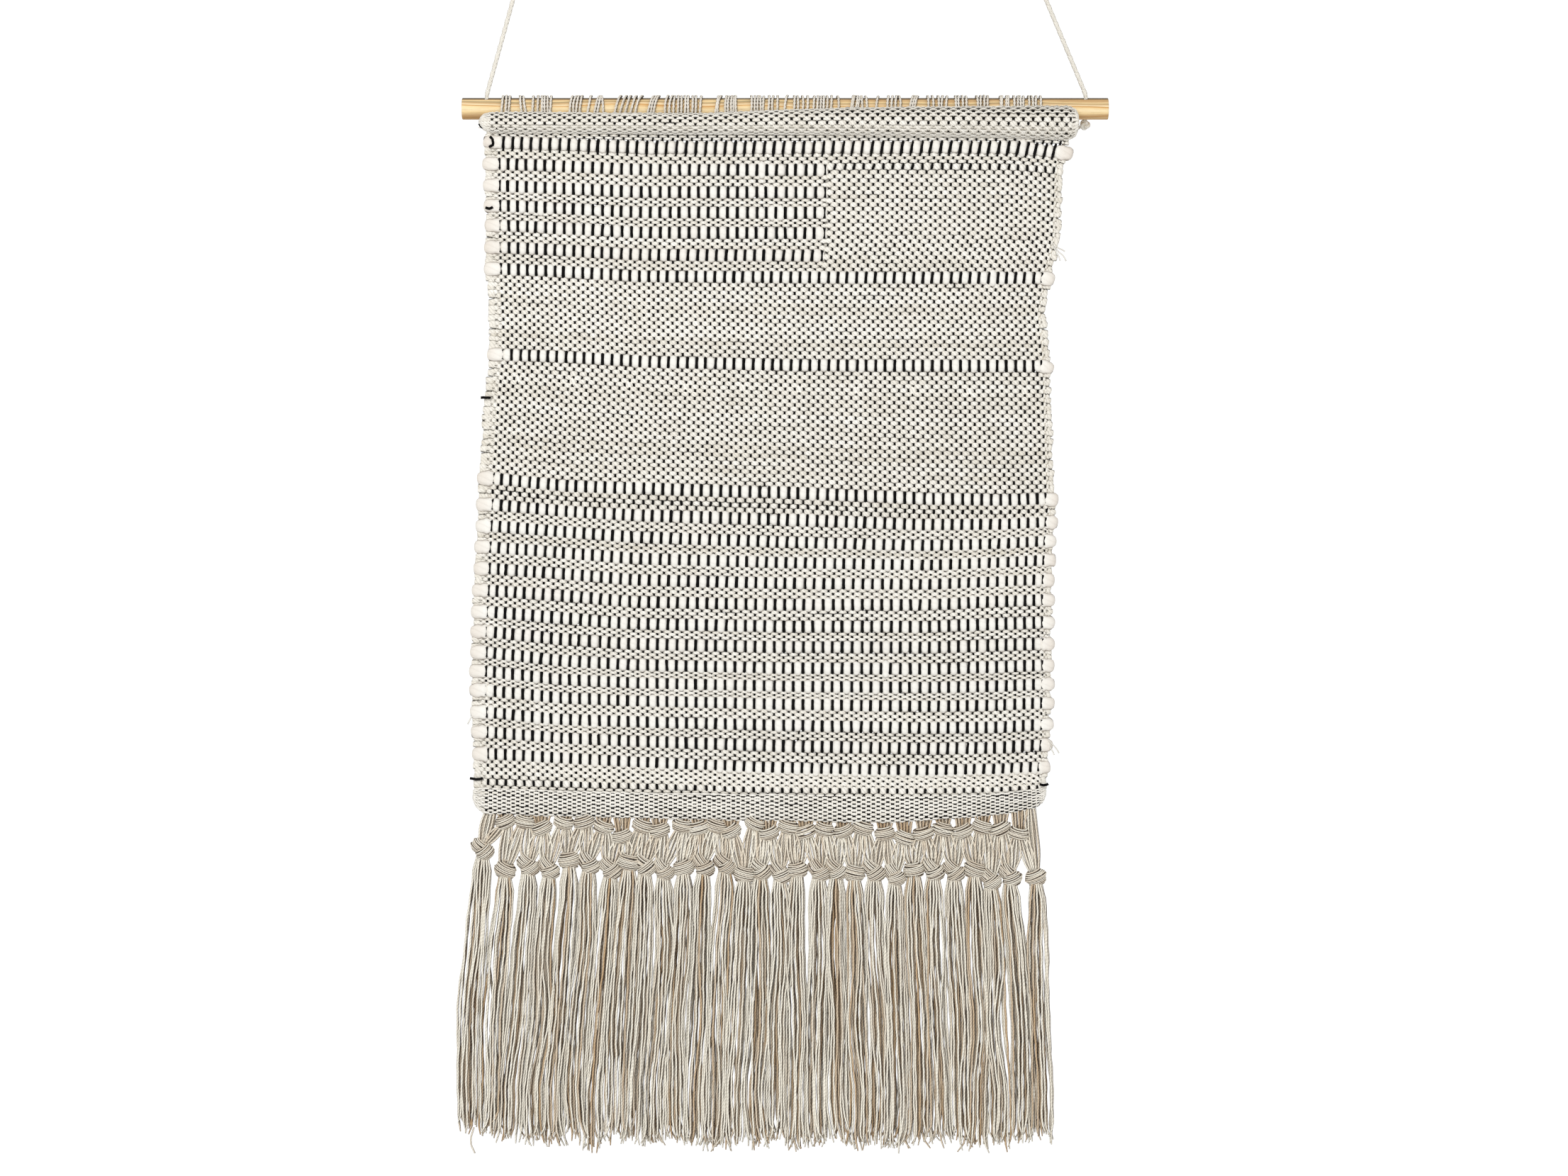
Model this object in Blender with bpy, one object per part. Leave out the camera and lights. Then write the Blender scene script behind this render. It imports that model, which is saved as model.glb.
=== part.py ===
"""Woven wall hanging: a cloth lashed to a pine dowel, with a knotted fringe.

Units are metres, +Z is up, the cloth faces -Y and the wall is behind it at +Y.
The origin is midway between the two hanging loops, at the height of their nails.
Heights named "drop" are measured down from the dowel's own axis.
"""

import math

import bmesh
import bpy
import numpy as np
from mathutils import Matrix, Vector

# Dowel and its two cord holes
DOWEL_LENGTH = 0.600
DOWEL_RADIUS = 0.010
DOWEL_CHAMFER = 0.0006
DOWEL_SIDES = 48
NAIL_HEIGHT = 0.165            # origin above the dowel's axis
HOLE_RADIUS = 0.0026
HOLE_TILT = math.radians(25)   # the mouth leans to the front

# Hanging cords: hole place along X, and the lean of the taut run towards the middle
CORD_RADIUS = 0.002
CORD_SIDES = {
    "left": {"hole_x": -0.277, "lean": math.radians(15.3)},
    "right": {"hole_x": 0.279, "lean": math.radians(-22.5)},
}
RUN_TOP = 0.120                # height of the run's end above the dowel's axis
RUN_TO_WALL = 0.0225           # how far the run goes back for each metre of rise
CORNER = 0.004                 # length of each leg of the bend at the hole's mouth
STOPPER_RADIUS = 0.0048
STOPPER_DISTANCE = 0.0155      # from the dowel's axis, along the hole
EYE_KNOT_HALF = (0.0052, 0.0052, 0.0068)
EYE_LENGTH = 0.036
EYE_WIDTH = 0.021
TOUCH_GAP = 0.0003

# Cloth
HEM_Y = -0.017                 # middle of the rolled top hem, in front of the dowel
HEM_HALF_DEPTH = 0.007
HEM_SIDES = 24
# (x, top drop, bottom drop) of the rolled hem, left to right
HEM_STATIONS = (
    (-0.281, 0.0105, 0.0195), (-0.279, 0.0070, 0.0230), (-0.272, 0.0060, 0.0236),
    (-0.170, 0.0068, 0.0236), (-0.070, 0.0072, 0.0236), (0.000, 0.0040, 0.0237),
    (0.060, 0.0022, 0.0240), (0.160, 0.0012, 0.0248), (0.240, 0.0006, 0.0266),
    (0.262, 0.0008, 0.0272), (0.268, 0.0040, 0.0240), (0.270, 0.0090, 0.0190),
)
PANEL_FRONT_Y = -0.018
PANEL_BACK_Y = -0.012
# (drop, x) down each selvedge of the panel
LEFT_EDGE = (
    (0.024, -0.276), (0.036, -0.278), (0.152, -0.276), (0.200, -0.2735), (0.235, -0.274),
    (0.269, -0.278), (0.336, -0.2825), (0.409, -0.286), (0.481, -0.289), (0.518, -0.290),
    (0.590, -0.2885), (0.6346, -0.2875),
)
RIGHT_EDGE = (
    (0.0276, 0.262), (0.057, 0.256), (0.119, 0.254), (0.155, 0.2455), (0.191, 0.240),
    (0.235, 0.2445), (0.278, 0.2455), (0.336, 0.2475), (0.373, 0.249), (0.445, 0.2455),
    (0.518, 0.2455), (0.590, 0.244), (0.6346, 0.240),
)
BOTTOM_HEM_X = (-0.2875, 0.239)
BOTTOM_HEM_TOP = 0.635
BOTTOM_HEM_HALF = 0.004
FRINGE_Y = -0.015
FRINGE_DROP = 0.655            # the fringe bends about the middle of the hem's round edge

# Lashing bands round the dowel: (start, end) along X
LASHING_SPANS = (
    (-0.264, -0.255), (-0.247, -0.230), (-0.2265, -0.2175), (-0.2005, -0.1905),
    (-0.185, -0.166), (-0.162, -0.1315), (-0.129, -0.1165), (-0.112, -0.078),
    (-0.065, -0.046), (-0.031, -0.008), (-0.002, 0.021), (0.026, 0.0495),
    (0.059, 0.0845), (0.0945, 0.123), (0.133, 0.148), (0.159, 0.188), (0.199, 0.236),
)
LASHING_INNER = DOWEL_RADIUS + TOUCH_GAP
LASHING_OUTER = LASHING_INNER + 0.002
LASHING_STEPS = 28

# Knotted fringe: 28 upper knots share their yarn between 29 tassels
TASSELS = 29
KNOT_ROW_X = (-0.2803, 0.2309)     # first and last lower knot
TASSEL_END_X = (-0.2945, 0.2379)   # first and last tassel at their ends
NET_TOP = 0.6597
UPPER_KNOT_DROP = 0.6665
LOWER_KNOT_DROP = 0.706
END_KNOT_RISE = 0.012              # the leftmost knot is tied higher
STRAND_TALL = 0.024                # upright measure through a slanting strand
NET_HALF_DEPTH = 0.0045
NET_KNOT_HALF = 0.0045
TASSEL_TOP = 0.0072                # a tassel starts this far above its knot's middle
TASSEL_END_DROP = 0.957
TASSEL_SIDES = 12
# (fraction of the way from knot top to tassel end, half width, half depth)
TASSEL_RINGS = (
    (0.000, 0.0030, 0.0030), (0.008, 0.0068, 0.0052), (0.022, 0.0082, 0.0062),
    (0.038, 0.0066, 0.0054), (0.060, 0.0066, 0.0050), (0.130, 0.0084, 0.0050),
    (0.500, 0.0087, 0.0050), (0.970, 0.0087, 0.0048), (1.000, 0.0076, 0.0040),
)


def make_material(name, color, roughness):
    """A plain Principled BSDF finish."""
    material = bpy.data.materials.new(name)
    material.use_nodes = True
    shader = material.node_tree.nodes["Principled BSDF"]
    shader.inputs["Base Color"].default_value = (*color, 1.0)
    shader.inputs["Roughness"].default_value = roughness
    shader.inputs["Metallic"].default_value = 0.0
    material.diffuse_color = (*color, 1.0)
    return material


def add_empty(name, location, parent=None):
    """An empty that a group of pieces turns about."""
    empty = bpy.data.objects.new(name, None)
    empty.location = location
    empty.parent = parent
    bpy.context.collection.objects.link(empty)
    return empty


def add_piece(name, bm, material, parent, location=(0, 0, 0), smooth_angle=40):
    """Puts a bmesh into a named object under its parent."""
    bmesh.ops.recalc_face_normals(bm, faces=bm.faces)
    mesh = bpy.data.meshes.new(name)
    bm.to_mesh(mesh)
    bm.free()
    mesh.shade_smooth()
    mesh.set_sharp_from_angle(angle=math.radians(smooth_angle))
    mesh.materials.append(material)
    piece = bpy.data.objects.new(name, mesh)
    piece.parent = parent
    piece.location = location
    bpy.context.collection.objects.link(piece)
    return piece


def loft(rings):
    """A closed solid through rings of points with the same count, capped at both ends."""
    bm = bmesh.new()
    rows = [[bm.verts.new(point) for point in ring] for ring in rings]
    count = len(rows[0])
    for lower, upper in zip(rows, rows[1:]):
        for i in range(count):
            j = (i + 1) % count
            bm.faces.new((lower[i], lower[j], upper[j], upper[i]))
    bm.faces.new(rows[0])
    bm.faces.new(rows[-1])
    return bm


def extrude_outline(outline, direction):
    """A closed solid from a flat outline, carried along a direction."""
    bm = bmesh.new()
    face = bm.faces.new([bm.verts.new(point) for point in outline])
    moved = bmesh.ops.extrude_face_region(bm, geom=[face])["geom"]
    verts = [item for item in moved if isinstance(item, bmesh.types.BMVert)]
    bmesh.ops.translate(bm, verts=verts, vec=direction)
    return bm


def cylinder_along_x(radius, length, sides):
    """A capped cylinder whose axis is X."""
    bm = bmesh.new()
    turn = Matrix.Rotation(math.pi / 2, 4, "Y")
    bmesh.ops.create_cone(bm, cap_ends=True, segments=sides, radius1=radius, radius2=radius,
                          depth=length, matrix=turn)
    return bm


def hole_direction():
    """The way the cord leaves a hole's mouth: up and a little to the front."""
    return Vector((0.0, -math.sin(HOLE_TILT), math.cos(HOLE_TILT)))


def run_direction(side):
    """The way the taut run goes from the hole towards its nail."""
    lean = CORD_SIDES[side]["lean"]
    return Vector((math.sin(lean), RUN_TO_WALL, math.cos(lean))).normalized()


def cord_corner(side):
    """The point outside the hole's mouth where the run's line starts."""
    return Vector((CORD_SIDES[side]["hole_x"], 0, 0)) + hole_direction() * (DOWEL_RADIUS + 0.003)


def run_length(side):
    """From the corner to the run's end under its eye knot."""
    return (RUN_TOP - cord_corner(side).z) / run_direction(side).z


def cord_points(side):
    """Straight through the hole, one soft bend at the mouth, then straight to the knot."""
    hole = hole_direction()
    run = run_direction(side)
    start = Vector((CORD_SIDES[side]["hole_x"], 0, 0))
    corner = cord_corner(side)
    knot_top = STOPPER_DISTANCE - STOPPER_RADIUS - TOUCH_GAP
    points = [start + hole * distance for distance in (-knot_top, -0.005, 0.0, 0.005)]
    before = corner - hole * CORNER
    after = corner + run * CORNER
    for t in np.linspace(0.0, 1.0, 6):
        bend = before * (1 - t) ** 2 + corner * (2 * t * (1 - t)) + after * t ** 2
        points.append(bend)
    length = run_length(side)
    points += [corner + run * d for d in np.linspace(0.012, length, 12)]
    return points


def add_tube(name, points, radius, material, parent, closed=False):
    """A round tube along points, as a curve with a bevel and filled caps."""
    curve = bpy.data.curves.new(name, "CURVE")
    curve.dimensions = "3D"
    curve.bevel_depth = radius
    curve.bevel_resolution = 2
    curve.use_fill_caps = True
    spline = curve.splines.new("POLY")
    spline.points.add(len(points) - 1)
    for place, point in zip(spline.points, points):
        place.co = (*point, 1.0)
    spline.use_cyclic_u = closed
    curve.materials.append(material)
    tube = bpy.data.objects.new(name, curve)
    tube.parent = parent
    bpy.context.collection.objects.link(tube)
    return tube


def build_dowel(parent, material):
    """A round rod with chamfered ends and a tilted hole near each end."""
    bm = cylinder_along_x(DOWEL_RADIUS, DOWEL_LENGTH, DOWEL_SIDES)
    dowel = add_piece("dowel", bm, material, parent)
    bevel = dowel.modifiers.new("chamfer", "BEVEL")
    bevel.width = DOWEL_CHAMFER
    bevel.segments = 1
    bevel.limit_method = "ANGLE"
    bevel.angle_limit = math.radians(50)
    for side, values in CORD_SIDES.items():
        cutter_bm = bmesh.new()
        bmesh.ops.create_cone(cutter_bm, cap_ends=True, segments=20, radius1=HOLE_RADIUS,
                              radius2=HOLE_RADIUS, depth=DOWEL_RADIUS * 3,
                              matrix=Matrix.Rotation(HOLE_TILT, 4, "X"))
        cutter = add_piece(f"hole_cutter_{side}", cutter_bm, material, parent,
                           (values["hole_x"], 0, 0))
        cutter.hide_render = True
        cutter.display_type = "WIRE"
        cut = dowel.modifiers.new(f"hole_{side}", "BOOLEAN")
        cut.object = cutter
        cut.operation = "DIFFERENCE"


def add_knot(name, centre, half, along, material, parent):
    """A drawn-up knot: an ellipsoid whose long axis lies along the cord."""
    bm = bmesh.new()
    turn = Vector((0, 0, 1)).rotation_difference(along).to_matrix().to_4x4()
    shape = turn @ Matrix.Diagonal((*half, 1.0))
    bmesh.ops.create_uvsphere(bm, u_segments=16, v_segments=10, radius=1.0, matrix=shape)
    return add_piece(name, bm, material, parent, centre)


def build_cord(side, parent, material):
    """One hanging cord: stopper knot, taut run, whipped eye knot and eye loop."""
    hole = hole_direction()
    run = run_direction(side)
    start = Vector((CORD_SIDES[side]["hole_x"], 0, 0))
    add_tube(f"cord_{side}", cord_points(side), CORD_RADIUS, material, parent)
    add_knot(f"stopper_knot_{side}", start - hole * STOPPER_DISTANCE, (STOPPER_RADIUS,) * 3,
             hole, material, parent)
    run_end = cord_corner(side) + run * run_length(side)
    knot_half = EYE_KNOT_HALF[2]
    knot_centre = run_end + run * (knot_half + TOUCH_GAP)
    add_knot(f"eye_knot_{side}", knot_centre, EYE_KNOT_HALF, run, material, parent)
    across = Vector((run.z, 0, -run.x)).normalized()
    base = knot_centre + run * (knot_half + TOUCH_GAP + CORD_RADIUS)
    points = []
    for t in np.linspace(0, 2 * math.pi, 28, endpoint=False):
        along = EYE_LENGTH / 2 * (1 - math.cos(t))
        wide = EYE_WIDTH / 2 * math.sin(t) * (1 - 0.22 * math.cos(t))
        points.append(base + run * along + across * wide)
    add_tube(f"eye_loop_{side}", points, CORD_RADIUS, material, parent, closed=True)


def build_lashings(parent, material):
    """Bands of yarn round the dowel, each a rectangle turned about the dowel's axis."""
    for number, (start, end) in enumerate(LASHING_SPANS, 1):
        rings = []
        for x, radius in ((start, LASHING_INNER), (start, LASHING_OUTER),
                          (end, LASHING_OUTER), (end, LASHING_INNER)):
            angles = np.linspace(0, 2 * math.pi, LASHING_STEPS, endpoint=False)
            rings.append([(x, radius * math.sin(a), radius * math.cos(a)) for a in angles])
        bm = bmesh.new()
        rows = [[bm.verts.new(point) for point in ring] for ring in rings]
        for row, following in zip(rows, rows[1:] + rows[:1]):
            for i in range(LASHING_STEPS):
                j = (i + 1) % LASHING_STEPS
                bm.faces.new((row[i], row[j], following[j], following[i]))
        add_piece(f"lashing_{number:02d}", bm, material, parent)


def build_top_hem(parent, material):
    """The rolled band in front of the dowel: ellipses carried along X."""
    rings = []
    angles = np.linspace(0, 2 * math.pi, HEM_SIDES, endpoint=False)
    for x, top, bottom in HEM_STATIONS:
        middle = -(top + bottom) / 2
        tall = (bottom - top) / 2
        deep = HEM_HALF_DEPTH * min(1.0, tall / 0.0080)
        rings.append([(x, HEM_Y + deep * math.cos(a), middle + tall * math.sin(a))
                      for a in angles])
    add_piece("top_hem", loft(rings), material, parent)


def hem_bottom(x):
    """Drop of the rolled hem's lower edge at x."""
    stations = np.array(HEM_STATIONS[2:-2])
    return float(np.interp(x, stations[:, 0], stations[:, 2]))


def build_panel(parent, material):
    """The woven panel: its outline, extruded from the front to the flat back."""
    top = [(x, -hem_bottom(x) - 0.0006) for x in np.linspace(LEFT_EDGE[0][1], RIGHT_EDGE[0][1], 12)]
    right = [(x, -drop) for drop, x in RIGHT_EDGE[1:]]
    left = [(x, -drop) for drop, x in reversed(LEFT_EDGE[1:])]
    outline = [(x, PANEL_FRONT_Y, z) for x, z in top + right + left]
    bm = extrude_outline(outline, (0, PANEL_BACK_Y - PANEL_FRONT_Y, 0))
    add_piece("woven_panel", bm, material, parent)


def build_bottom_hem(parent, material):
    """The folded lower hem: a flat strip with a half-round bottom edge."""
    half = BOTTOM_HEM_HALF
    profile = [(FRINGE_Y + half, -BOTTOM_HEM_TOP), (FRINGE_Y - half, -BOTTOM_HEM_TOP)]
    for angle in np.linspace(math.pi, 2 * math.pi, 9):
        profile.append((FRINGE_Y + half * math.cos(angle), -FRINGE_DROP + half * math.sin(angle)))
    start, end = BOTTOM_HEM_X
    bm = extrude_outline([(start, y, z) for y, z in profile], (end - start, 0, 0))
    add_piece("bottom_hem", bm, material, parent)


def knot_places():
    """X of each lower knot, X of each tassel's end, and each lower knot's drop."""
    tops = np.linspace(*KNOT_ROW_X, TASSELS)
    ends = np.linspace(*TASSEL_END_X, TASSELS)
    drops = np.full(TASSELS, LOWER_KNOT_DROP)
    drops[0] -= END_KNOT_RISE
    drops[1] -= END_KNOT_RISE / 3
    return tops, ends, drops


def build_net(parent, material):
    """The halved strands between the two rows of knots: one zigzag band.

    The middle line goes hem, lower knot, upper knot, lower knot and so on to the hem
    again. The band is that line with the same upright measure everywhere, cut off level
    at the top and just above the lower knots.
    """
    tops, _, drops = knot_places()
    spacing = tops[1] - tops[0]
    knot_tops = TASSEL_TOP + TOUCH_GAP * 2 - drops
    xs, zs, floors = [tops[0] - spacing * 0.15], [-NET_TOP - 0.010], [knot_tops[0]]
    for number in range(TASSELS):
        xs.append(tops[number])
        zs.append(-drops[number] + NET_KNOT_HALF + STRAND_TALL / 2)
        floors.append(knot_tops[number])
        if number < TASSELS - 1:
            xs.append(tops[number] + spacing / 2)
            zs.append(-UPPER_KNOT_DROP - 0.004)
            floors.append(max(knot_tops[number], knot_tops[number + 1]))
    xs.append(tops[-1] + spacing * 0.15)
    zs.append(-NET_TOP - 0.010)
    floors.append(knot_tops[-1])
    samples = np.linspace(xs[0], xs[-1], (TASSELS * 2 - 1) * 4 + 1)
    middle = np.interp(samples, xs, zs)
    floor = np.interp(samples, xs, floors)
    upper = np.minimum(middle + STRAND_TALL / 2, -NET_TOP)
    lower = np.maximum(middle - STRAND_TALL / 2, floor)
    front, back = FRINGE_Y - NET_HALF_DEPTH, FRINGE_Y + NET_HALF_DEPTH
    rings = [[(x, front, top), (x, back, top), (x, back, bottom), (x, front, bottom)]
             for x, top, bottom in zip(samples, upper, lower)]
    add_piece("knot_net", loft(rings), material, parent, smooth_angle=20)


def build_tassels(parent, material):
    """Each tassel: a lower knot and its skirt of yarns, as ellipses on a leaning line."""
    tops, ends, drops = knot_places()
    angles = np.linspace(0, 2 * math.pi, TASSEL_SIDES, endpoint=False)
    for number in range(TASSELS):
        high = TASSEL_TOP - drops[number]
        rings = []
        for fraction, wide, deep in TASSEL_RINGS:
            x = tops[number] + (ends[number] - tops[number]) * fraction
            z = high + (-TASSEL_END_DROP - high) * fraction
            rings.append([(x + wide * math.cos(a), FRINGE_Y + deep * math.sin(a), z)
                          for a in angles])
        add_piece(f"tassel_{number + 1:02d}", loft(rings), material, parent)


def main():
    for old in list(bpy.data.objects):
        bpy.data.objects.remove(old, do_unlink=True)
    pine = make_material("pine", (0.80, 0.58, 0.33), 0.55)
    cord = make_material("cotton_cord", (0.84, 0.80, 0.70), 0.9)
    weft = make_material("ivory_weft", (0.80, 0.77, 0.68), 0.95)
    lashing = make_material("lashing_yarn", (0.84, 0.80, 0.72), 0.92)
    fringe_yarn = make_material("fringe_yarn", (0.62, 0.52, 0.40), 0.95)

    rail = add_empty("rail_axis", (0, 0, -NAIL_HEIGHT))
    cloth = add_empty("cloth_axis", (0, 0, 0), rail)
    fringe = add_empty("fringe_axis", (0, FRINGE_Y, -FRINGE_DROP), cloth)
    from_dowel = add_empty("fringe_pieces", (0, -FRINGE_Y, FRINGE_DROP), fringe)

    build_dowel(rail, pine)
    for side in CORD_SIDES:
        build_cord(side, rail, cord)
    build_lashings(cloth, lashing)
    build_top_hem(cloth, weft)
    build_panel(cloth, weft)
    build_bottom_hem(cloth, weft)
    build_net(from_dowel, fringe_yarn)
    build_tassels(from_dowel, fringe_yarn)


main()
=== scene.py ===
import math

import bpy
import numpy as np
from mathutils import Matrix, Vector


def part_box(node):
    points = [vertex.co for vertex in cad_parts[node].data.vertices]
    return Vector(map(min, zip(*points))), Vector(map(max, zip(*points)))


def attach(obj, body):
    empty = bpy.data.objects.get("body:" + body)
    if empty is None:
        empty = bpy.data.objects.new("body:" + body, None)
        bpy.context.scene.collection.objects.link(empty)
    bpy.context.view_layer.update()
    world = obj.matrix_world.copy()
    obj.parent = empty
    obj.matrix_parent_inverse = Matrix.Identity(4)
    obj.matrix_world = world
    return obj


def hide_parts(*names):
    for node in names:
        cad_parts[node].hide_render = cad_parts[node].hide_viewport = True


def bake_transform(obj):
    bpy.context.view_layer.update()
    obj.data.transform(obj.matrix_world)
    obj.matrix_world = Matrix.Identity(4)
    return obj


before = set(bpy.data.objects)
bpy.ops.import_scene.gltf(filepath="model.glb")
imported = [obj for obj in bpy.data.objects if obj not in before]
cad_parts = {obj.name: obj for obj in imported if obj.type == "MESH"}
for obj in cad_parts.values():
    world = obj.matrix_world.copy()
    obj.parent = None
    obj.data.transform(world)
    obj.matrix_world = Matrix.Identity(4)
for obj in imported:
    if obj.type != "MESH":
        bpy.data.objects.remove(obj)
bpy.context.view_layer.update()        # bodies: rail (dowel and cords), cloth (panel and hems), fringe
print("frame loaded")

mm = 0.001
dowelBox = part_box("dowel")
axisZ = (dowelBox[0][2] + dowelBox[1][2]) / 2        # every "drop" is measured down from here
dowelRadius = (dowelBox[1][2] - dowelBox[0][2]) / 2
dowelHalf = (dowelBox[1][0] - dowelBox[0][0]) / 2

# camera and light
view = {
    "lens": 85.0, "sensor": 36.0,
    "widthSeen": 1.4497,         # metres across the whole picture at the cloth
    "centreX": -0.0011, "centreDrop": 0.4452,
    "clothY": -0.017,
}

light = {
    "skyShown": 1.1,             # white behind the object
    "skyLit": 0.60,              # what the white surroundings give the object
    # power, size and place of each lamp; all are aimed at the middle of the cloth
    "lamps": {"key": (38.0, 1.1, (-1.0, -2.4, 0.75)),
              "fill": (11.0, 1.6, (1.7, -2.2, -0.6)),
              "back": (16.0, 1.6, (0.6, 2.4, 0.9))},
    "aim": (0, 0, -0.55),
    "floorZ": -1.45, "floorRadius": 1.5,
}


def makeCamera():
    data = bpy.data.cameras.new("camera")
    data.lens = view["lens"]
    data.sensor_width = view["sensor"]
    camera = bpy.data.objects.new("camera", data)
    away = view["widthSeen"] * view["lens"] / view["sensor"]
    camera.location = (view["centreX"], view["clothY"] - away, axisZ - view["centreDrop"])
    camera.rotation_euler = (math.pi / 2, 0, 0)
    bpy.context.collection.objects.link(camera)
    bpy.context.scene.camera = camera


def areaLight(name, power, size, place):
    data = bpy.data.lights.new(name, "AREA")
    data.energy = power
    data.size = size
    lamp = bpy.data.objects.new(name, data)
    lamp.location = place
    lamp.rotation_euler = (Vector(light["aim"]) - Vector(place)).to_track_quat("-Z", "Y").to_euler()
    bpy.context.collection.objects.link(lamp)


def makeWorld():
    # the sky's strength is skyLit for every ray but the camera's own
    world = bpy.data.worlds.new("softWhite")
    bpy.context.scene.world = world
    world.use_nodes = True
    nodes, links = world.node_tree.nodes, world.node_tree.links
    path = nodes.new("ShaderNodeLightPath")
    pick = nodes.new("ShaderNodeMapRange")
    pick.inputs["To Min"].default_value = light["skyLit"]
    pick.inputs["To Max"].default_value = light["skyShown"]
    links.new(path.outputs["Is Camera Ray"], pick.inputs["Value"])
    links.new(pick.outputs["Result"], nodes["Background"].inputs["Strength"])
    nodes["Background"].inputs["Color"].default_value = (1, 1, 1, 1)
    bpy.context.scene.view_settings.view_transform = "Standard"


# tubes and meshes

def unit(vectors):
    # each vector divided by its length
    return vectors / np.maximum(np.linalg.norm(vectors, axis=-1, keepdims=True), 1e-12)


def sweepTubes(paths, wide, deep, reference, sides=6, closed=False):
    # rings round many paths at once: ring point = path + wide cos(a) across + deep sin(a) outward,
    # where across = tangent x reference and outward = across x tangent
    paths = np.asarray(paths, float)
    count, length = paths.shape[:2]
    if closed:
        tangent = np.roll(paths, -1, axis=1) - np.roll(paths, 1, axis=1)
    else:
        tangent = np.gradient(paths, axis=1)
    tangent = unit(tangent)
    across = unit(np.cross(tangent, np.broadcast_to(reference, paths.shape)))
    outward = np.cross(across, tangent)
    angle = np.linspace(0, 2 * math.pi, sides, endpoint=False)
    wide = np.broadcast_to(wide, (count, length))[..., None, None]
    deep = np.broadcast_to(deep, (count, length))[..., None, None]
    ring = (paths[:, :, None] + wide * np.cos(angle)[:, None] * across[:, :, None]
            + deep * np.sin(angle)[:, None] * outward[:, :, None])
    index = np.arange(count * length * sides).reshape(count, length, sides)
    around = np.roll(index, -1, axis=2)
    if closed:
        here, after = index, np.roll(index, -1, axis=1)
        aroundHere, aroundAfter = around, np.roll(around, -1, axis=1)
    else:
        here, after = index[:, :-1], index[:, 1:]
        aroundHere, aroundAfter = around[:, :-1], around[:, 1:]
    quads = np.stack([here, after, aroundAfter, aroundHere], axis=-1).reshape(-1, 4)
    caps = np.zeros((0, sides), int)
    if not closed:
        caps = np.concatenate([index[:, 0], index[:, -1, ::-1]])
    step = np.linalg.norm(np.diff(paths, axis=1, append=paths[:, :1] if closed else paths[:, -1:]), axis=2)
    along = np.concatenate([np.zeros((count, 1)), np.cumsum(step, axis=1)], axis=1)
    spans = length if closed else length - 1
    u0 = np.broadcast_to(along[:, :spans, None], (count, spans, sides))
    u1 = np.broadcast_to(along[:, 1:spans + 1, None], (count, spans, sides))
    v0 = np.broadcast_to(np.arange(sides) / sides, (count, spans, sides))
    v1 = v0 + 1 / sides
    yarnMap = np.stack([np.stack([u0, u1, u1, u0], -1), np.stack([v0, v0, v1, v1], -1)], -1)
    total = np.maximum(along[:, -1], 1e-9)[:, None, None]
    # each tube has a shelf of its own in the bake map, with a margin above and below
    margin, capWidth, capHeight = 0.04, 0.002, 0.4
    shelf = np.arange(count)[:, None, None] + margin
    low, high = (shelf + v0 * (1 - 2 * margin)) / count, (shelf + v1 * (1 - 2 * margin)) / count
    bakeMap = np.stack([np.stack([u0 / total, u1 / total, u1 / total, u0 / total], -1),
                        np.stack([low, low, high, high], -1)], -1)
    capMap = np.zeros((len(caps), sides, 2))
    capBake = np.zeros((len(caps), sides, 2))
    if len(caps):
        ends = np.concatenate([np.zeros(count), np.ones(count)])
        shelves = np.concatenate([np.arange(count)] * 2)
        capMap[..., 0] = (ends * np.tile(along[:, -1], 2))[:, None]
        capMap[..., 1] = np.arange(sides) / sides
        capBake[..., 0] = np.abs(ends[:, None] - capWidth * (1 + np.cos(angle)))
        capBake[..., 1] = (shelves[:, None] + 0.5 + capHeight * np.sin(angle)) / count
    return {"verts": ring.reshape(-1, 3), "quads": quads, "caps": caps, "perTube": length * sides,
            "yarnMap": (yarnMap.reshape(-1, 2), capMap.reshape(-1, 2)),
            "bakeMap": (bakeMap.reshape(-1, 2), capBake.reshape(-1, 2))}


def joinTubes(sets):
    # several swept sets as one, with their bake shelves stacked one above the other
    verts, quads, caps, yarn, bake, capYarn, capBake, tones = [], [], [], [], [], [], [], []
    total = sum(len(one["verts"]) for one in sets)
    start, base = 0, 0.0
    for one in sets:
        share = len(one["verts"]) / total
        verts.append(one["verts"])
        quads.append(one["quads"] + start)
        caps += [cap + start for cap in one["caps"]]
        scale, shift = np.array([1, share]), np.array([0, base])
        yarn.append(one["yarnMap"][0])
        capYarn.append(one["yarnMap"][1])
        bake.append(one["bakeMap"][0] * scale + shift)
        capBake.append(one["bakeMap"][1] * scale + shift)
        tones.append(one["tone"])
        start += len(one["verts"])
        base += share
    return {"verts": np.concatenate(verts), "quads": np.concatenate(quads), "caps": caps,
            "yarnMap": (np.concatenate(yarn), np.concatenate(capYarn)),
            "bakeMap": (np.concatenate(bake), np.concatenate(capBake)), "tone": np.concatenate(tones)}


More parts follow.
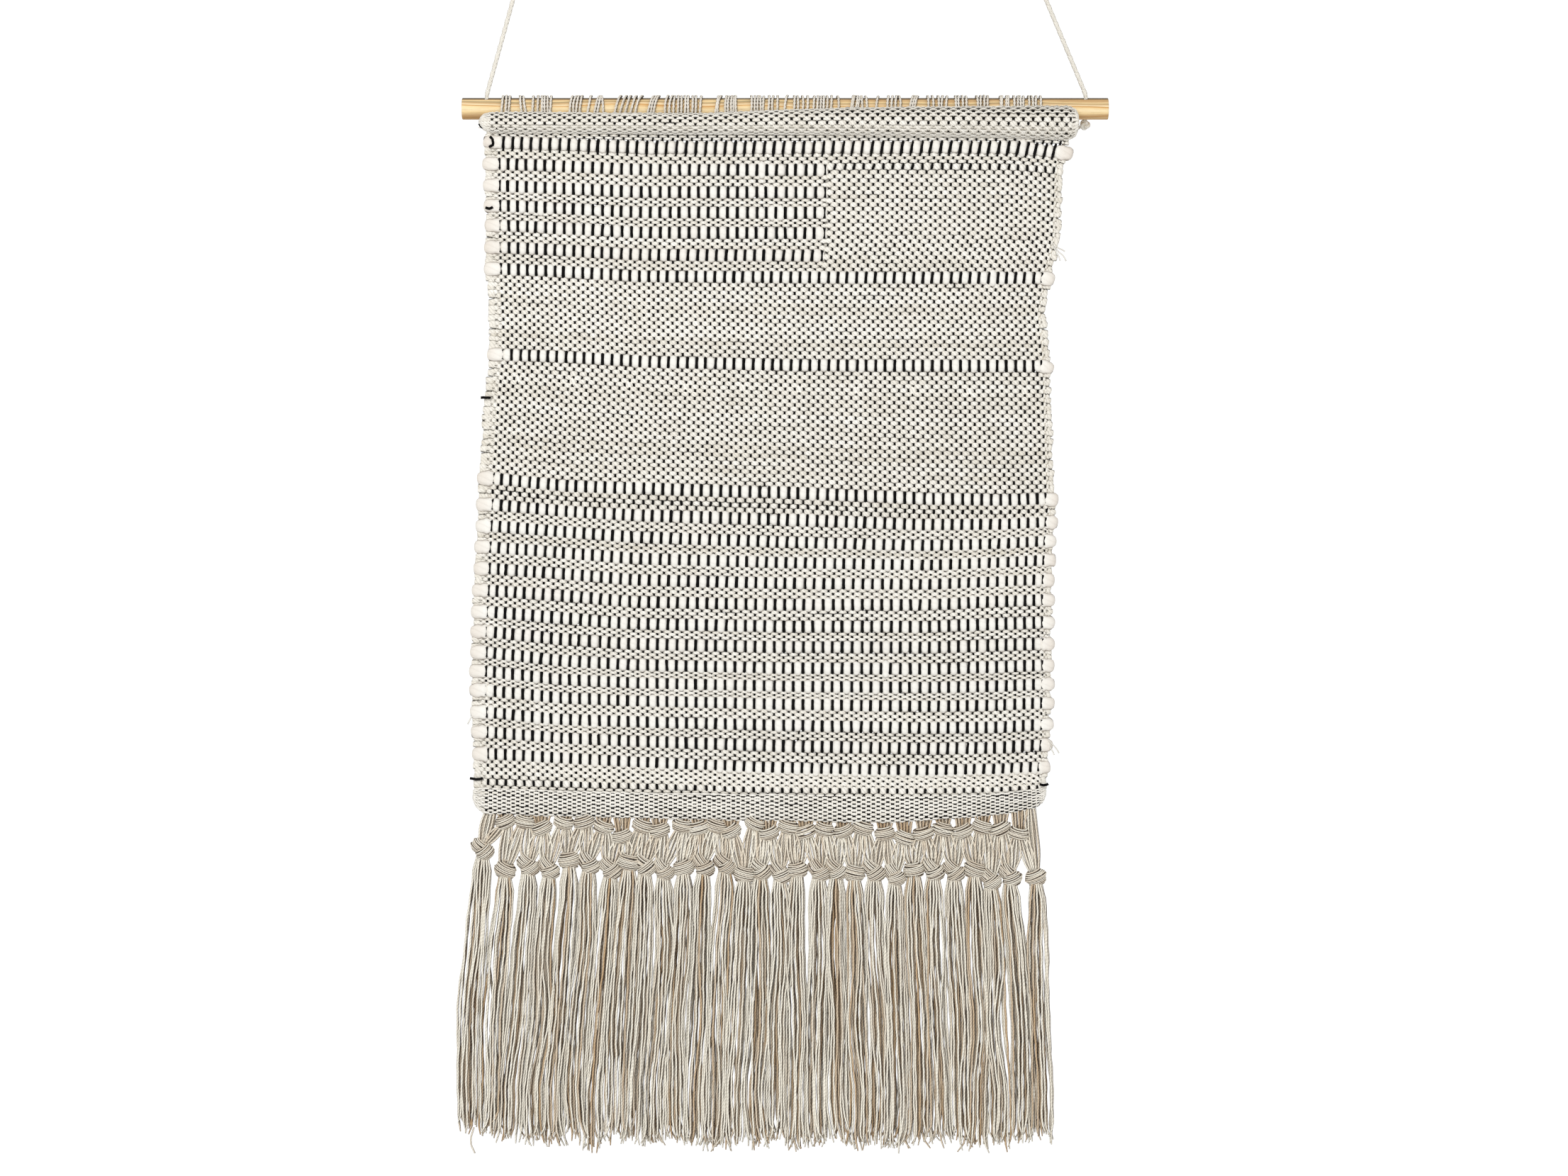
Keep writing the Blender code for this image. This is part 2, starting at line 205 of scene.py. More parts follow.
def putMesh(name, tubes, material, body):
    # puts swept tubes into a mesh object; without a body it is left unattached
    caps = [np.asarray(cap) for cap in tubes["caps"]]
    corner = np.concatenate([tubes["quads"].ravel()] + caps) if caps else tubes["quads"].ravel()
    sizes = np.concatenate([np.full(len(tubes["quads"]), 4), [len(cap) for cap in caps]]).astype(int)
    starts = np.concatenate([[0], np.cumsum(sizes)[:-1]]).astype(int)
    mesh = bpy.data.meshes.new(name)
    mesh.vertices.add(len(tubes["verts"]))
    mesh.vertices.foreach_set("co", tubes["verts"].astype(np.float32).ravel())
    mesh.loops.add(len(corner))
    mesh.loops.foreach_set("vertex_index", corner.astype(np.int32))
    mesh.polygons.add(len(sizes))
    mesh.polygons.foreach_set("loop_start", starts.astype(np.int32))
    for label, key in (("yarnMap", "yarnMap"), ("OFBake", "bakeMap")):
        layer = mesh.uv_layers.new(name=label)
        layer.data.foreach_set("uv", np.concatenate(tubes[key]).astype(np.float32).ravel())
    tone = mesh.attributes.new("tone", "FLOAT", "POINT")
    tone.data.foreach_set("value", np.asarray(tubes["tone"], np.float32))
    mesh.update(calc_edges=True)
    mesh.shade_smooth()
    mesh.materials.append(material)
    piece = bpy.data.objects.new(name, mesh)
    bpy.context.collection.objects.link(piece)
    if body:
        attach(piece, body)
    return piece


def toneEach(tubes, values):
    # one tone for each whole tube, or one for each ring; tone picks a yarn's colour from dark to light, and
    # holds random differences and, in places, painted shade
    values = np.asarray(values, float)
    if values.ndim == 1:
        tubes["tone"] = np.repeat(values, tubes["perTube"])
    else:
        tubes["tone"] = np.repeat(values.ravel(), tubes["perTube"] // values.shape[1])
    return tubes


def toned(tubes, rng, low=0.55, high=0.95):
    # a random tone for each tube, evenly spread between low and high
    count = len(tubes["verts"]) // tubes["perTube"]
    return toneEach(tubes, rng.uniform(low, high, count))


def slowNoise(rng, count, length, step):
    # smooth random curves: random values every few samples, joined by cosine blends
    knots = rng.normal(0, 1, (count, length // step + 3))
    where = np.arange(length) / step
    low = where.astype(int)
    part = (1 - np.cos(math.pi * (where - low))) / 2
    return knots[:, low] * (1 - part) + knots[:, low + 1] * part


# materials

def newGroup(name, inputs, outputs):
    group = bpy.data.node_groups.new(name, "ShaderNodeTree")
    for label, kind, value in inputs:
        socket = group.interface.new_socket(name=label, in_out="INPUT", socket_type=kind)
        if value is not None:
            socket.default_value = value
    for label, kind in outputs:
        group.interface.new_socket(name=label, in_out="OUTPUT", socket_type=kind)
    return group, group.nodes.new("NodeGroupInput"), group.nodes.new("NodeGroupOutput")


def mathNode(tree, operation, first, second=None, third=None):
    node = tree.nodes.new("ShaderNodeMath")
    node.operation = operation
    for place, value in enumerate((first, second, third)):
        if value is None:
            continue
        if isinstance(value, (int, float)):
            node.inputs[place].default_value = value
        else:
            tree.links.new(value, node.inputs[place])
    return node.outputs[0]


def plyTwistGroup():
    # ply ridge = sine of (turns x length + plies x way round), sharpened into narrow grooves that carry
    # painted shade
    group, into, out = newGroup(
        "plyTwist",
        [("Vector", "NodeSocketVector", None), ("Turns", "NodeSocketFloat", 200.0),
         ("Plies", "NodeSocketFloat", 2.0)],
        [("Height", "NodeSocketFloat"), ("GrooveShade", "NodeSocketFloat")])
    split = group.nodes.new("ShaderNodeSeparateXYZ")
    group.links.new(into.outputs["Vector"], split.inputs[0])
    along = mathNode(group, "MULTIPLY", split.outputs["X"], into.outputs["Turns"])
    turned = mathNode(group, "MULTIPLY_ADD", split.outputs["Y"], into.outputs["Plies"], along)
    wave = mathNode(group, "SINE", mathNode(group, "MULTIPLY", turned, 2 * math.pi))
    height = mathNode(group, "ABSOLUTE", wave)
    group.links.new(height, out.inputs["Height"])
    grooveShade = mathNode(group, "POWER", mathNode(group, "SUBTRACT", 1.0, height), 2.5)
    group.links.new(grooveShade, out.inputs["GrooveShade"])
    return group


def fibreGroup():
    # fine fibre speckle and slow patches, both from object coordinates
    group, into, out = newGroup(
        "fibreMottle",
        [("Vector", "NodeSocketVector", None), ("Fine", "NodeSocketFloat", 1800.0),
         ("Broad", "NodeSocketFloat", 40.0)],
        [("Speckle", "NodeSocketFloat"), ("Patch", "NodeSocketFloat")])
    for label, scale in (("Speckle", "Fine"), ("Patch", "Broad")):
        noise = group.nodes.new("ShaderNodeTexNoise")
        noise.inputs["Detail"].default_value = 2.0
        group.links.new(into.outputs["Vector"], noise.inputs["Vector"])
        group.links.new(into.outputs[scale], noise.inputs["Scale"])
        group.links.new(noise.outputs["Fac"], out.inputs[label])
    return group


def mixColor(tree, factor, first, second, mode="MIX"):
    node = tree.nodes.new("ShaderNodeMix")
    node.data_type = "RGBA"
    node.blend_type = mode
    for socket, value in ((node.inputs["Factor"], factor), (node.inputs["A"], first),
                          (node.inputs["B"], second)):
        if isinstance(value, (int, float)):
            socket.default_value = value
        elif isinstance(value, tuple):
            socket.default_value = (*value, 1.0)
        else:
            tree.links.new(value, socket)
    return node.outputs["Result"]


def addBump(tree, shader, height, strength, depth):
    bump = tree.nodes.new("ShaderNodeBump")
    bump.inputs["Strength"].default_value = strength
    bump.inputs["Distance"].default_value = depth
    tree.links.new(height, bump.inputs["Height"])
    tree.links.new(bump.outputs["Normal"], shader.inputs["Normal"])


# dark and light end the tone; the third colour is painted shade, for ply grooves and the sides between yarns
yarnLooks = {
    "groundWeft": {"dark": (0.76, 0.71, 0.61), "light": (1.0, 0.97, 0.90), "paintedShade": (0.07, 0.055, 0.035),
                   "edge": 0.85, "edgeShadePower": 9.0, "grooveShade": 0.30, "turns": 150.0, "plies": 2.0,
                   "bump": 0.45, "mottle": 0.6, "sheen": 0.1},
    "jerseyStrip": {"dark": (0.78, 0.71, 0.63), "light": (0.93, 0.91, 0.85), "paintedShade": (0.22, 0.17, 0.13),
                    "edge": 0.75, "edgeShadePower": 9.0, "grooveShade": 0.10, "turns": 40.0, "plies": 3.0, "bump": 0.3,
                    "mottle": 0.5, "sheen": 0.1},
    "blackWarp": {"dark": (0.002, 0.002, 0.002), "light": (0.006, 0.005, 0.005),
                  "paintedShade": (0.001, 0.001, 0.001), "edge": 0.5, "edgeShadePower": 9.0, "grooveShade": 0.2,
                  "turns": 320.0, "plies": 2.0, "bump": 0.3, "mottle": 0.5, "sheen": 0.0},
    "lashingYarn": {"dark": (0.66, 0.58, 0.47), "light": (0.92, 0.87, 0.78), "paintedShade": (0.04, 0.025, 0.015),
                    "edge": 1.0, "edgeShadePower": 5.0, "grooveShade": 0.30, "turns": 260.0, "plies": 2.0,
                    "bump": 0.35, "mottle": 0.5, "sheen": 0.1},
    "cottonCord": {"dark": (0.70, 0.65, 0.56), "light": (0.90, 0.87, 0.79), "paintedShade": (0.25, 0.20, 0.14),
                   "edge": 0.6, "edgeShadePower": 9.0, "grooveShade": 0.2, "turns": 300.0, "plies": 2.0, "bump": 0.25,
                   "mottle": 0.4, "sheen": 0.1},
    "fringeYarn": {"dark": (0.62, 0.44, 0.26), "light": (1.0, 0.95, 0.82), "paintedShade": (0.06, 0.021, 0.005),
                   "edge": 1.0, "edgeShadePower": 3.4, "grooveShade": 0.34, "turns": 150.0, "plies": 1.0, "bump": 0.7,
                   "mottle": 0.5, "sheen": 0.1},
}
yarnSurface = {
    "patches": 0.35, "roughness": 0.75, "roughnessSpread": 0.2, "fibreHeight": 0.6, "bumpDepth": 0.5 * mm,
    "specular": 0.1, "sheenRoughness": 0.6,
}


def yarnMaterial(name, groups):
    # tone picks between dark and light; painted shade darkens the ply grooves and the sides that face a
    # neighbour
    look = yarnLooks[name]
    material = bpy.data.materials.new(name)
    material.use_nodes = True
    tree = material.node_tree
    shader = tree.nodes["Principled BSDF"]
    place = tree.nodes.new("ShaderNodeTexCoord")
    own = tree.nodes.new("ShaderNodeUVMap")
    own.uv_map = "yarnMap"
    twist = tree.nodes.new("ShaderNodeGroup")
    twist.node_tree = groups["plyTwist"]
    twist.inputs["Turns"].default_value = look["turns"]
    twist.inputs["Plies"].default_value = look["plies"]
    tree.links.new(own.outputs["UV"], twist.inputs["Vector"])
    fibre = tree.nodes.new("ShaderNodeGroup")
    fibre.node_tree = groups["fibreMottle"]
    tree.links.new(place.outputs["Object"], fibre.inputs["Vector"])
    tone = tree.nodes.new("ShaderNodeAttribute")
    tone.attribute_name = "tone"
    mottled = mathNode(tree, "MULTIPLY_ADD",
                       mathNode(tree, "SUBTRACT", fibre.outputs["Speckle"], 0.5),
                       look["mottle"], tone.outputs["Fac"])
    patched = mathNode(tree, "MULTIPLY_ADD",
                       mathNode(tree, "SUBTRACT", fibre.outputs["Patch"], 0.5),
                       yarnSurface["patches"], mottled)
    color = mixColor(tree, patched, look["dark"], look["light"])
    # painted shade in the ply grooves
    shade = mathNode(tree, "MULTIPLY", twist.outputs["GrooveShade"], look["grooveShade"])
    color = mixColor(tree, shade, color, look["paintedShade"])
    # painted shade on the tube's sides, where it faces its neighbours: strongest where the way round is 0 or
    # a half
    split = tree.nodes.new("ShaderNodeSeparateXYZ")
    tree.links.new(own.outputs["UV"], split.inputs[0])
    sideways = mathNode(tree, "COSINE", mathNode(tree, "MULTIPLY", split.outputs["Y"], 2 * math.pi))
    side = mathNode(tree, "POWER", mathNode(tree, "ABSOLUTE", sideways), look["edgeShadePower"])
    color = mixColor(tree, mathNode(tree, "MULTIPLY", side, look["edge"]), color, look["paintedShade"])
    tree.links.new(color, shader.inputs["Base Color"])
    rough = mathNode(tree, "MULTIPLY_ADD", fibre.outputs["Speckle"], yarnSurface["roughnessSpread"],
                     yarnSurface["roughness"])
    tree.links.new(rough, shader.inputs["Roughness"])
    height = mathNode(tree, "MULTIPLY_ADD", fibre.outputs["Speckle"], yarnSurface["fibreHeight"],
                      twist.outputs["Height"])
    addBump(tree, shader, height, look["bump"], yarnSurface["bumpDepth"])
    shader.inputs["Specular IOR Level"].default_value = yarnSurface["specular"]
    shader.inputs["Sheen Weight"].default_value = look["sheen"]
    shader.inputs["Sheen Roughness"].default_value = yarnSurface["sheenRoughness"]
    return material


# cords, made first so that their room is settled
cordLook = {
    "diameter": 4.0 * mm,
    "holeTilt": math.radians(25),
    "sides": {"left": {"holeX": -0.277, "lean": math.radians(15.3), "tails": 3},
              "right": {"holeX": 0.279, "lean": math.radians(-22.5), "tails": 9}},
    "runTop": 0.120, "runToWall": 0.0225, "corner": 4 * mm,
    "strandRadius": 0.86 * mm, "strandCircle": 1.12 * mm, "strandLift": 0.26 * mm,
    "lay": 17 * mm,              # length of one full turn of a strand
    "step": 1.05 * mm,           # between the rings of a strand
    "gap": 0.3 * mm,
}
stopper = {
    "radius": 4.8 * mm, "away": 15.5 * mm, "size": 1.18 * mm, "swell": 1.6, "strand": 1.65 * mm,
    "tailWay": np.array([-6.5, -1.5, -3.0]) * mm, "tailSpread": 2.6 * mm, "tailBow": 1.0 * mm,
    "tailRadius": 0.4 * mm,
}
eye = {
    "knotHalf": 6.8 * mm, "whipTurns": 6.5, "whipRise": 5.6 * mm, "whipSwell": 0.10, "whipRadius": 1.0 * mm,
    "whipWide": 3.9 * mm, "whipDeep": 3.0 * mm,
    "coreHalf": 6.4 * mm, "coreWide": 3.6 * mm, "coreDeep": 2.8 * mm,
    "length": 36 * mm, "width": 21 * mm, "opening": 0.12, "pinch": 0.22,
    "stem": 4.5 * mm, "stemApart": 1.2 * mm,
}


def cordRoute(side):
    # straight through the hole, a quadratic bend at its mouth, then straight to the knot
    look, own = cordLook, cordLook["sides"][side]
    hole = np.array([0, -math.sin(look["holeTilt"]), math.cos(look["holeTilt"])])
    run = unit(np.array([math.sin(own["lean"]), look["runToWall"], math.cos(own["lean"])]))
    start = np.array([own["holeX"], 0, axisZ])
    corner = start + hole * (dowelRadius + 3 * mm)
    length = (look["runTop"] - (corner[2] - axisZ)) / run[2]
    knotTop = stopper["away"] - stopper["radius"] - look["gap"]
    first = start + np.outer([-knotTop, -5 * mm, 0, 5 * mm], hole)
    before, after = corner - hole * look["corner"], corner + run * look["corner"]
    t = np.linspace(0, 1, 6)[:, None]
    bend = before * (1 - t) ** 2 + corner * 2 * t * (1 - t) + after * t ** 2
    last = corner + np.outer(np.linspace(12 * mm, length, 12), run)
    return {"route": np.concatenate([first, bend, last]), "start": start, "hole": hole, "run": run,
            "mouth": start + hole * dowelRadius, "end": corner + run * length}


def evenly(points, step):
    # points along a polyline at an even spacing, and how far along each is
    gone = np.concatenate([[0], np.cumsum(np.linalg.norm(np.diff(points, axis=0), axis=1))])
    count = max(2, int(round(gone[-1] / step)) + 1)
    want = np.linspace(0, gone[-1], count)
    return np.stack([np.interp(want, gone, points[:, i]) for i in range(3)], axis=1), want


def braid(points, reference):
    # eight strands, four each way: radius = strandCircle + strandLift cos(4 turns), so that each strand
    # passes over one and under the next
    look = cordLook
    centre, gone = evenly(points, look["step"])
    tangent = unit(np.gradient(centre, axis=0))
    across = unit(np.cross(tangent, reference))
    outward = np.cross(across, tangent)
    turn = 2 * math.pi * gone / look["lay"]
    paths = []
    for way in (1, -1):
        for k in range(4):
            angle = way * turn + k * math.pi / 2 + (math.pi / 4 if way < 0 else 0)
            lift = look["strandCircle"] + look["strandLift"] * way * np.cos(4 * turn + k * math.pi)
            paths.append(centre + (lift * np.cos(angle))[:, None] * across
                         + (lift * np.sin(angle))[:, None] * outward)
    return sweepTubes(paths, look["strandRadius"], look["strandRadius"], reference, sides=6)


def stopperTubes(way, tails, rng):
    # trefoil: (2 + cos 3t) round a circle twice while sin 3t goes in and out; frayed tails fan out of it
    t = np.linspace(0, 2 * math.pi, 60, endpoint=False)
    ring = 2 + np.cos(3 * t)
    knot = np.stack([ring * np.cos(2 * t), stopper["swell"] * np.sin(3 * t), ring * np.sin(2 * t)], 1)
    centre = way["start"] - way["hole"] * stopper["away"]
    reference = (0.1, 1.0, 0.2)
    lump = sweepTubes([knot * stopper["size"] + centre], stopper["strand"], stopper["strand"], reference,
                      8, True)
    s = np.linspace(0, 1, 7)[None, :, None]
    fan = rng.uniform(-1, 1, (tails, 3))
    paths = (centre + s * (stopper["tailWay"] + fan[:, None] * stopper["tailSpread"])
             + np.sin(s * 3) * fan[:, None, ::-1] * stopper["tailBow"])
    frayed = sweepTubes(paths, stopper["tailRadius"], stopper["tailRadius"], reference, 5)
    return joinTubes([toned(lump, rng), toned(frayed, rng)])


def whippedTubes(middle, along, sideways, rng):
    # whipping: tight turns round the doubled cord, an oval helix that swells in the middle
    backWay = np.cross(sideways, along)
    a = np.linspace(0, 2 * math.pi * eye["whipTurns"], 120)[:, None]
    share = np.linspace(-1, 1, 120)[:, None]
    swell = 1 - eye["whipSwell"] * share ** 2
    turns = (middle + share * eye["whipRise"] * along + eye["whipWide"] * swell * np.cos(a) * sideways
             + eye["whipDeep"] * swell * np.sin(a) * backWay)
    whip = sweepTubes([turns], eye["whipRadius"], eye["whipRadius"], along, 7)
    line = middle + np.linspace(-1, 1, 6)[:, None] * eye["coreHalf"] * along
    core = sweepTubes([line], eye["coreWide"], eye["coreDeep"], backWay, 12)
    return joinTubes([toned(whip, rng), toned(core, rng)])


def eyeLine(middle, along, sideways):
    # teardrop: out and back along the run as 1 - cos t, while sin t swings it from side to side
    t = np.linspace(eye["opening"], 2 * math.pi - eye["opening"], 40)
    base = middle + along * (eye["knotHalf"] + cordLook["gap"] + cordLook["diameter"] / 2)
    out = eye["length"] / 2 * (1 - np.cos(t))
    swing = eye["width"] / 2 * np.sin(t) * (1 - eye["pinch"] * np.cos(t))
    loop = base + out[:, None] * along + swing[:, None] * sideways
    stem = np.linspace(-eye["stem"], 0, 4)[:, None] * along
    return np.concatenate([base + sideways * eye["stemApart"] + stem, loop[1:-1],
                           (base - sideways * eye["stemApart"] + stem)[::-1]])


def makeCords(cordMaterial):
    # each cord: braided run, trefoil stopper knot, whipped eye knot and teardrop eye
    reference = np.array([0.02, 1.0, 0.013])
    rng = np.random.default_rng(5)
    for side, own in cordLook["sides"].items():
        way = cordRoute(side)
        run = putMesh(f"cordRun_{side}", toned(braid(way["route"], reference), rng), cordMaterial,
                      "rail")
        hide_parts(f"cord_{side}")
        knotPiece = putMesh(f"stopperKnot_{side}", stopperTubes(way, own["tails"], rng), cordMaterial,
                            "rail")
        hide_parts(f"stopper_knot_{side}")
        along = way["run"]
        sideways = unit(np.array([along[2], 0, -along[0]]))
        middle = way["end"] + along * (eye["knotHalf"] + cordLook["gap"])
        eyeKnot = putMesh(f"eyeKnot_{side}", whippedTubes(middle, along, sideways, rng), cordMaterial,
                          "rail")
        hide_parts(f"eye_knot_{side}")
        loop = putMesh(f"eyeLoop_{side}", toned(braid(eyeLine(middle, along, sideways), reference), rng),
                       cordMaterial, "rail")
        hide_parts(f"eye_loop_{side}")


makeCamera()
makeWorld()
for lampName, (lampPower, lampSize, lampPlace) in light["lamps"].items():
    areaLight(lampName, lampPower, lampSize, lampPlace)
groups = {"plyTwist": plyTwistGroup(), "fibreMottle": fibreGroup()}
yarns = {name: yarnMaterial(name, groups) for name in yarnLooks}
makeCords(yarns["cottonCord"])
print("camera, light and cords made")


def makeFloor():
    # a flat disc: rings of points at growing radius
    rings, spokes = 12, 64
    radius = np.linspace(0.02, light["floorRadius"], rings)[:, None]
    angle = np.linspace(0, 2 * math.pi, spokes, endpoint=False)[None, :]
    verts = np.stack([radius * np.cos(angle), radius * np.sin(angle),
                      np.full((rings, spokes), light["floorZ"])], -1).reshape(-1, 3)
    index = np.arange(rings * spokes).reshape(rings, spokes)
    around = np.roll(index, -1, axis=1)
    quads = np.stack([index[:-1], index[1:], around[1:], around[:-1]], -1).reshape(-1, 4)
    mesh = bpy.data.meshes.new("floor")
    mesh.from_pydata(verts.tolist(), [], quads.tolist() + [index[0].tolist()])
    material = bpy.data.materials.new("paleFloor")
    material.use_nodes = True
    shader = material.node_tree.nodes["Principled BSDF"]
    shader.inputs["Base Color"].default_value = (0.93, 0.93, 0.93, 1)
    shader.inputs["Roughness"].default_value = 0.9
    shader.inputs["Specular IOR Level"].default_value = 0.1
    mesh.materials.append(material)
    floor = bpy.data.objects.new("floor", mesh)
    bpy.context.collection.objects.link(floor)


makeFloor()
print("floor laid")

# dowel
dowelLook = {
    "chamfer": 0.7 * mm, "sides": 96, "stations": 60,
    "holeRadius": 2.6 * mm, "drillReach": 15 * mm,
    "pale": (0.89, 0.67, 0.35), "cream": (0.94, 0.77, 0.48), "tan": (0.64, 0.42, 0.20),
    "orange": (0.60, 0.29, 0.07), "grey": (0.40, 0.31, 0.16), "brown": (0.50, 0.27, 0.09),
    "knot": (0.30, 0.15, 0.05), "topShade": (0.07, 0.05, 0.025),
    # share of the height from the underside to the top, and the tint there
    "stripes": [(0.0, "tan"), (0.06, "brown"), (0.14, "tan"), (0.26, "pale"), (0.40, "cream"),
                (0.50, "pale"), (0.565, "orange"), (0.60, "cream"), (0.70, "tan"), (0.765, "grey"),
                (0.79, "pale"), (0.88, "tan"), (1.0, "brown")],
    # noise scales along and across the rod: slow drift of the stripes, and fine grain
    "drift": (9.0, 90.0, 90.0), "driftHeight": 0.55, "driftBase": -0.28,
    "grain": (40.0, 2200.0, 2200.0), "streakAbove": 0.60, "streakShare": 0.34,
    # painted shade: a near-black band along the top of the rod, between these heights above the axis, in
    # radii
    "topShadeFrom": 0.72, "topShadeTo": 0.86, "topShadeShare": 0.95,
    "roughness": 0.42, "roughnessSpread": 0.25, "bump": 0.25, "bumpDepth": 0.3 * mm, "specular": 0.35,
}


def stretchedNoise(tree, vector, scale, detail):
    # noise in a space stretched along the rod
    stretch = tree.nodes.new("ShaderNodeMapping")
    stretch.inputs["Scale"].default_value = scale
    tree.links.new(vector, stretch.inputs["Vector"])
    noise = tree.nodes.new("ShaderNodeTexNoise")
    noise.inputs["Scale"].default_value = 1.0
    noise.inputs["Detail"].default_value = detail
    tree.links.new(stretch.outputs["Vector"], noise.inputs["Vector"])
    return noise.outputs["Fac"]


def pineMaterial():
    # growth rings lie level in the rod, so each shows front and back as a long stripe at one height
    look = dowelLook
    material = bpy.data.materials.new("pine")
    material.use_nodes = True
    tree = material.node_tree
    shader = tree.nodes["Principled BSDF"]
    place = tree.nodes.new("ShaderNodeTexCoord")
    centred = tree.nodes.new("ShaderNodeMapping")
    centred.inputs["Location"].default_value = (0, 0, -axisZ)
    tree.links.new(place.outputs["Object"], centred.inputs["Vector"])
    drift = stretchedNoise(tree, centred.outputs["Vector"], look["drift"], 1.0)
    grain = stretchedNoise(tree, centred.outputs["Vector"], look["grain"], 3.0)
    split = tree.nodes.new("ShaderNodeSeparateXYZ")
    tree.links.new(centred.outputs["Vector"], split.inputs[0])
    height = mathNode(tree, "DIVIDE", split.outputs["Z"], dowelRadius)
    shift = mathNode(tree, "MULTIPLY_ADD", drift, look["driftHeight"], look["driftBase"])
    level = mathNode(tree, "MULTIPLY_ADD", height, 0.5, mathNode(tree, "ADD", shift, 0.5))
    stripes = tree.nodes.new("ShaderNodeValToRGB")
    ramp = stripes.color_ramp
    ramp.elements[0].position, ramp.elements[1].position = look["stripes"][0][0], look["stripes"][-1][0]
    for share, _ in look["stripes"][1:-1]:
        ramp.elements.new(share)
    for element, (_, tint) in zip(ramp.elements, look["stripes"]):
        element.color = (*look[tint], 1)
    tree.links.new(level, stripes.inputs["Fac"])
    color = stripes.outputs["Color"]
    streak = mathNode(tree, "MULTIPLY", mathNode(tree, "GREATER_THAN", grain, look["streakAbove"]),
                      look["streakShare"])
    color = mixColor(tree, streak, color, look["knot"])
    # painted shade: the top of the rod darkens towards a near-black brown
    top = tree.nodes.new("ShaderNodeMapRange")
    top.inputs["From Min"].default_value = look["topShadeFrom"]
    top.inputs["From Max"].default_value = look["topShadeTo"]
    tree.links.new(height, top.inputs["Value"])
    topShadeMask = mathNode(tree, "MULTIPLY", top.outputs["Result"], look["topShadeShare"])
    color = mixColor(tree, topShadeMask, color, look["topShade"])
    tree.links.new(color, shader.inputs["Base Color"])
    rough = mathNode(tree, "MULTIPLY_ADD", grain, look["roughnessSpread"], look["roughness"])
    tree.links.new(rough, shader.inputs["Roughness"])
    addBump(tree, shader, grain, look["bump"], look["bumpDepth"])
    shader.inputs["Specular IOR Level"].default_value = look["specular"]
    return material


def drillThrough(dowel, side):
    # a long rod along the cord's hole, taken away from the dowel by a Boolean
    hole = cordRoute(side)["hole"]
    reach = dowelLook["drillReach"]
    line = np.array([cordLook["sides"][side]["holeX"], 0, axisZ]) + np.outer([-reach, reach], hole)
    drill = sweepTubes([line], dowelLook["holeRadius"], dowelLook["holeRadius"], (1, 0, 0), 32)
    mesh = bpy.data.meshes.new("drill")
    mesh.from_pydata(drill["verts"].tolist(), [], drill["quads"].tolist() + drill["caps"].tolist())
    cutter = bpy.data.objects.new("drill", mesh)
    bpy.context.collection.objects.link(cutter)
    cut = dowel.modifiers.new("bore", "BOOLEAN")
    cut.object = cutter
    cut.operation = "DIFFERENCE"
    return cutter


def makeDowel():
    # a turned rod: radius is full but for a chamfer at each end; then both cord holes are bored
    look = dowelLook
    x = np.concatenate([[-dowelHalf, -dowelHalf], -dowelHalf + look["chamfer"] * np.array([0.35, 1.0]),
                        np.linspace(-dowelHalf + 2 * mm, dowelHalf - 2 * mm, look["stations"]),
                        dowelHalf - look["chamfer"] * np.array([1.0, 0.35]), [dowelHalf, dowelHalf]])
    r = np.full(len(x), dowelRadius)
    r[[0, -1]] = dowelRadius * 0.5
    r[[1, -2]] = dowelRadius - look["chamfer"]
    r[[2, -3]] = dowelRadius - look["chamfer"] * 0.3
    # swept along evenly spaced stations, which then take their own x
    path = np.stack([np.linspace(-1, 1, len(x)), np.zeros(len(x)), np.full(len(x), axisZ)], 1)[None]
    tubes = sweepTubes(path, r[None], r[None], (0, 0, 1), look["sides"])
    tubes["verts"][:, 0] = np.repeat(x, look["sides"])
    tubes["tone"] = np.zeros(len(tubes["verts"]))
    dowel = putMesh("pineDowel", tubes, pineMaterial(), "rail")
    cutters = [drillThrough(dowel, side) for side in cordLook["sides"]]
    ready = dowel.evaluated_get(bpy.context.evaluated_depsgraph_get())
    bored = bpy.data.meshes.new_from_object(ready)
    dowel.modifiers.clear()
    dowel.data = bored
    bored.set_sharp_from_angle(angle=math.radians(35))
    for cutter in cutters:
        bpy.data.objects.remove(cutter, do_unlink=True)
    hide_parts("dowel")


makeDowel()
print("dowel made")

# the cloth's plan: warps, rows, and how the rows sag
clothPlan = {
    "warps": 117,                # black warps, numbered from 0 at the left
    "edgeBand": {"left": 13.0 * mm, "right": 7.5 * mm},
    "bandWarps": 4.3,            # the selvedge bands in warp numbers
    "bandPace": 0.008,           # share of the width for each warp number in a band
    "crowding": 0.09,            # the outer warps stand closer
    "crowdedWarps": 9,           # and ease out over about this many
    "middleY": -15.0 * mm,
    "warpRadius": 0.96 * mm,
    "splitWarp": 68.4,           # right end of the partial ribs
    "flatWidth": 0.535,
}
lastWarp = clothPlan["warps"] - 1
# (drop, x) down each selvedge, in mm
leftEdge = np.array([(0, -282), (24, -277), (36, -278), (152, -276), (200, -273.5), (235, -274),
                     (269, -278), (336, -282.5), (409, -286), (481, -289), (518, -290), (590, -288.5),
                     (640, -287.5), (700, -287)]) * mm
rightEdge = np.array([(0, 268), (18, 268), (27, 264), (57, 256), (119, 254), (155, 245.5),
                      (191, 240), (235, 244.5), (278, 245.5), (336, 247.5), (373, 249), (445, 245.5),
                      (518, 245.5), (590, 244), (626, 241), (700, 238)]) * mm
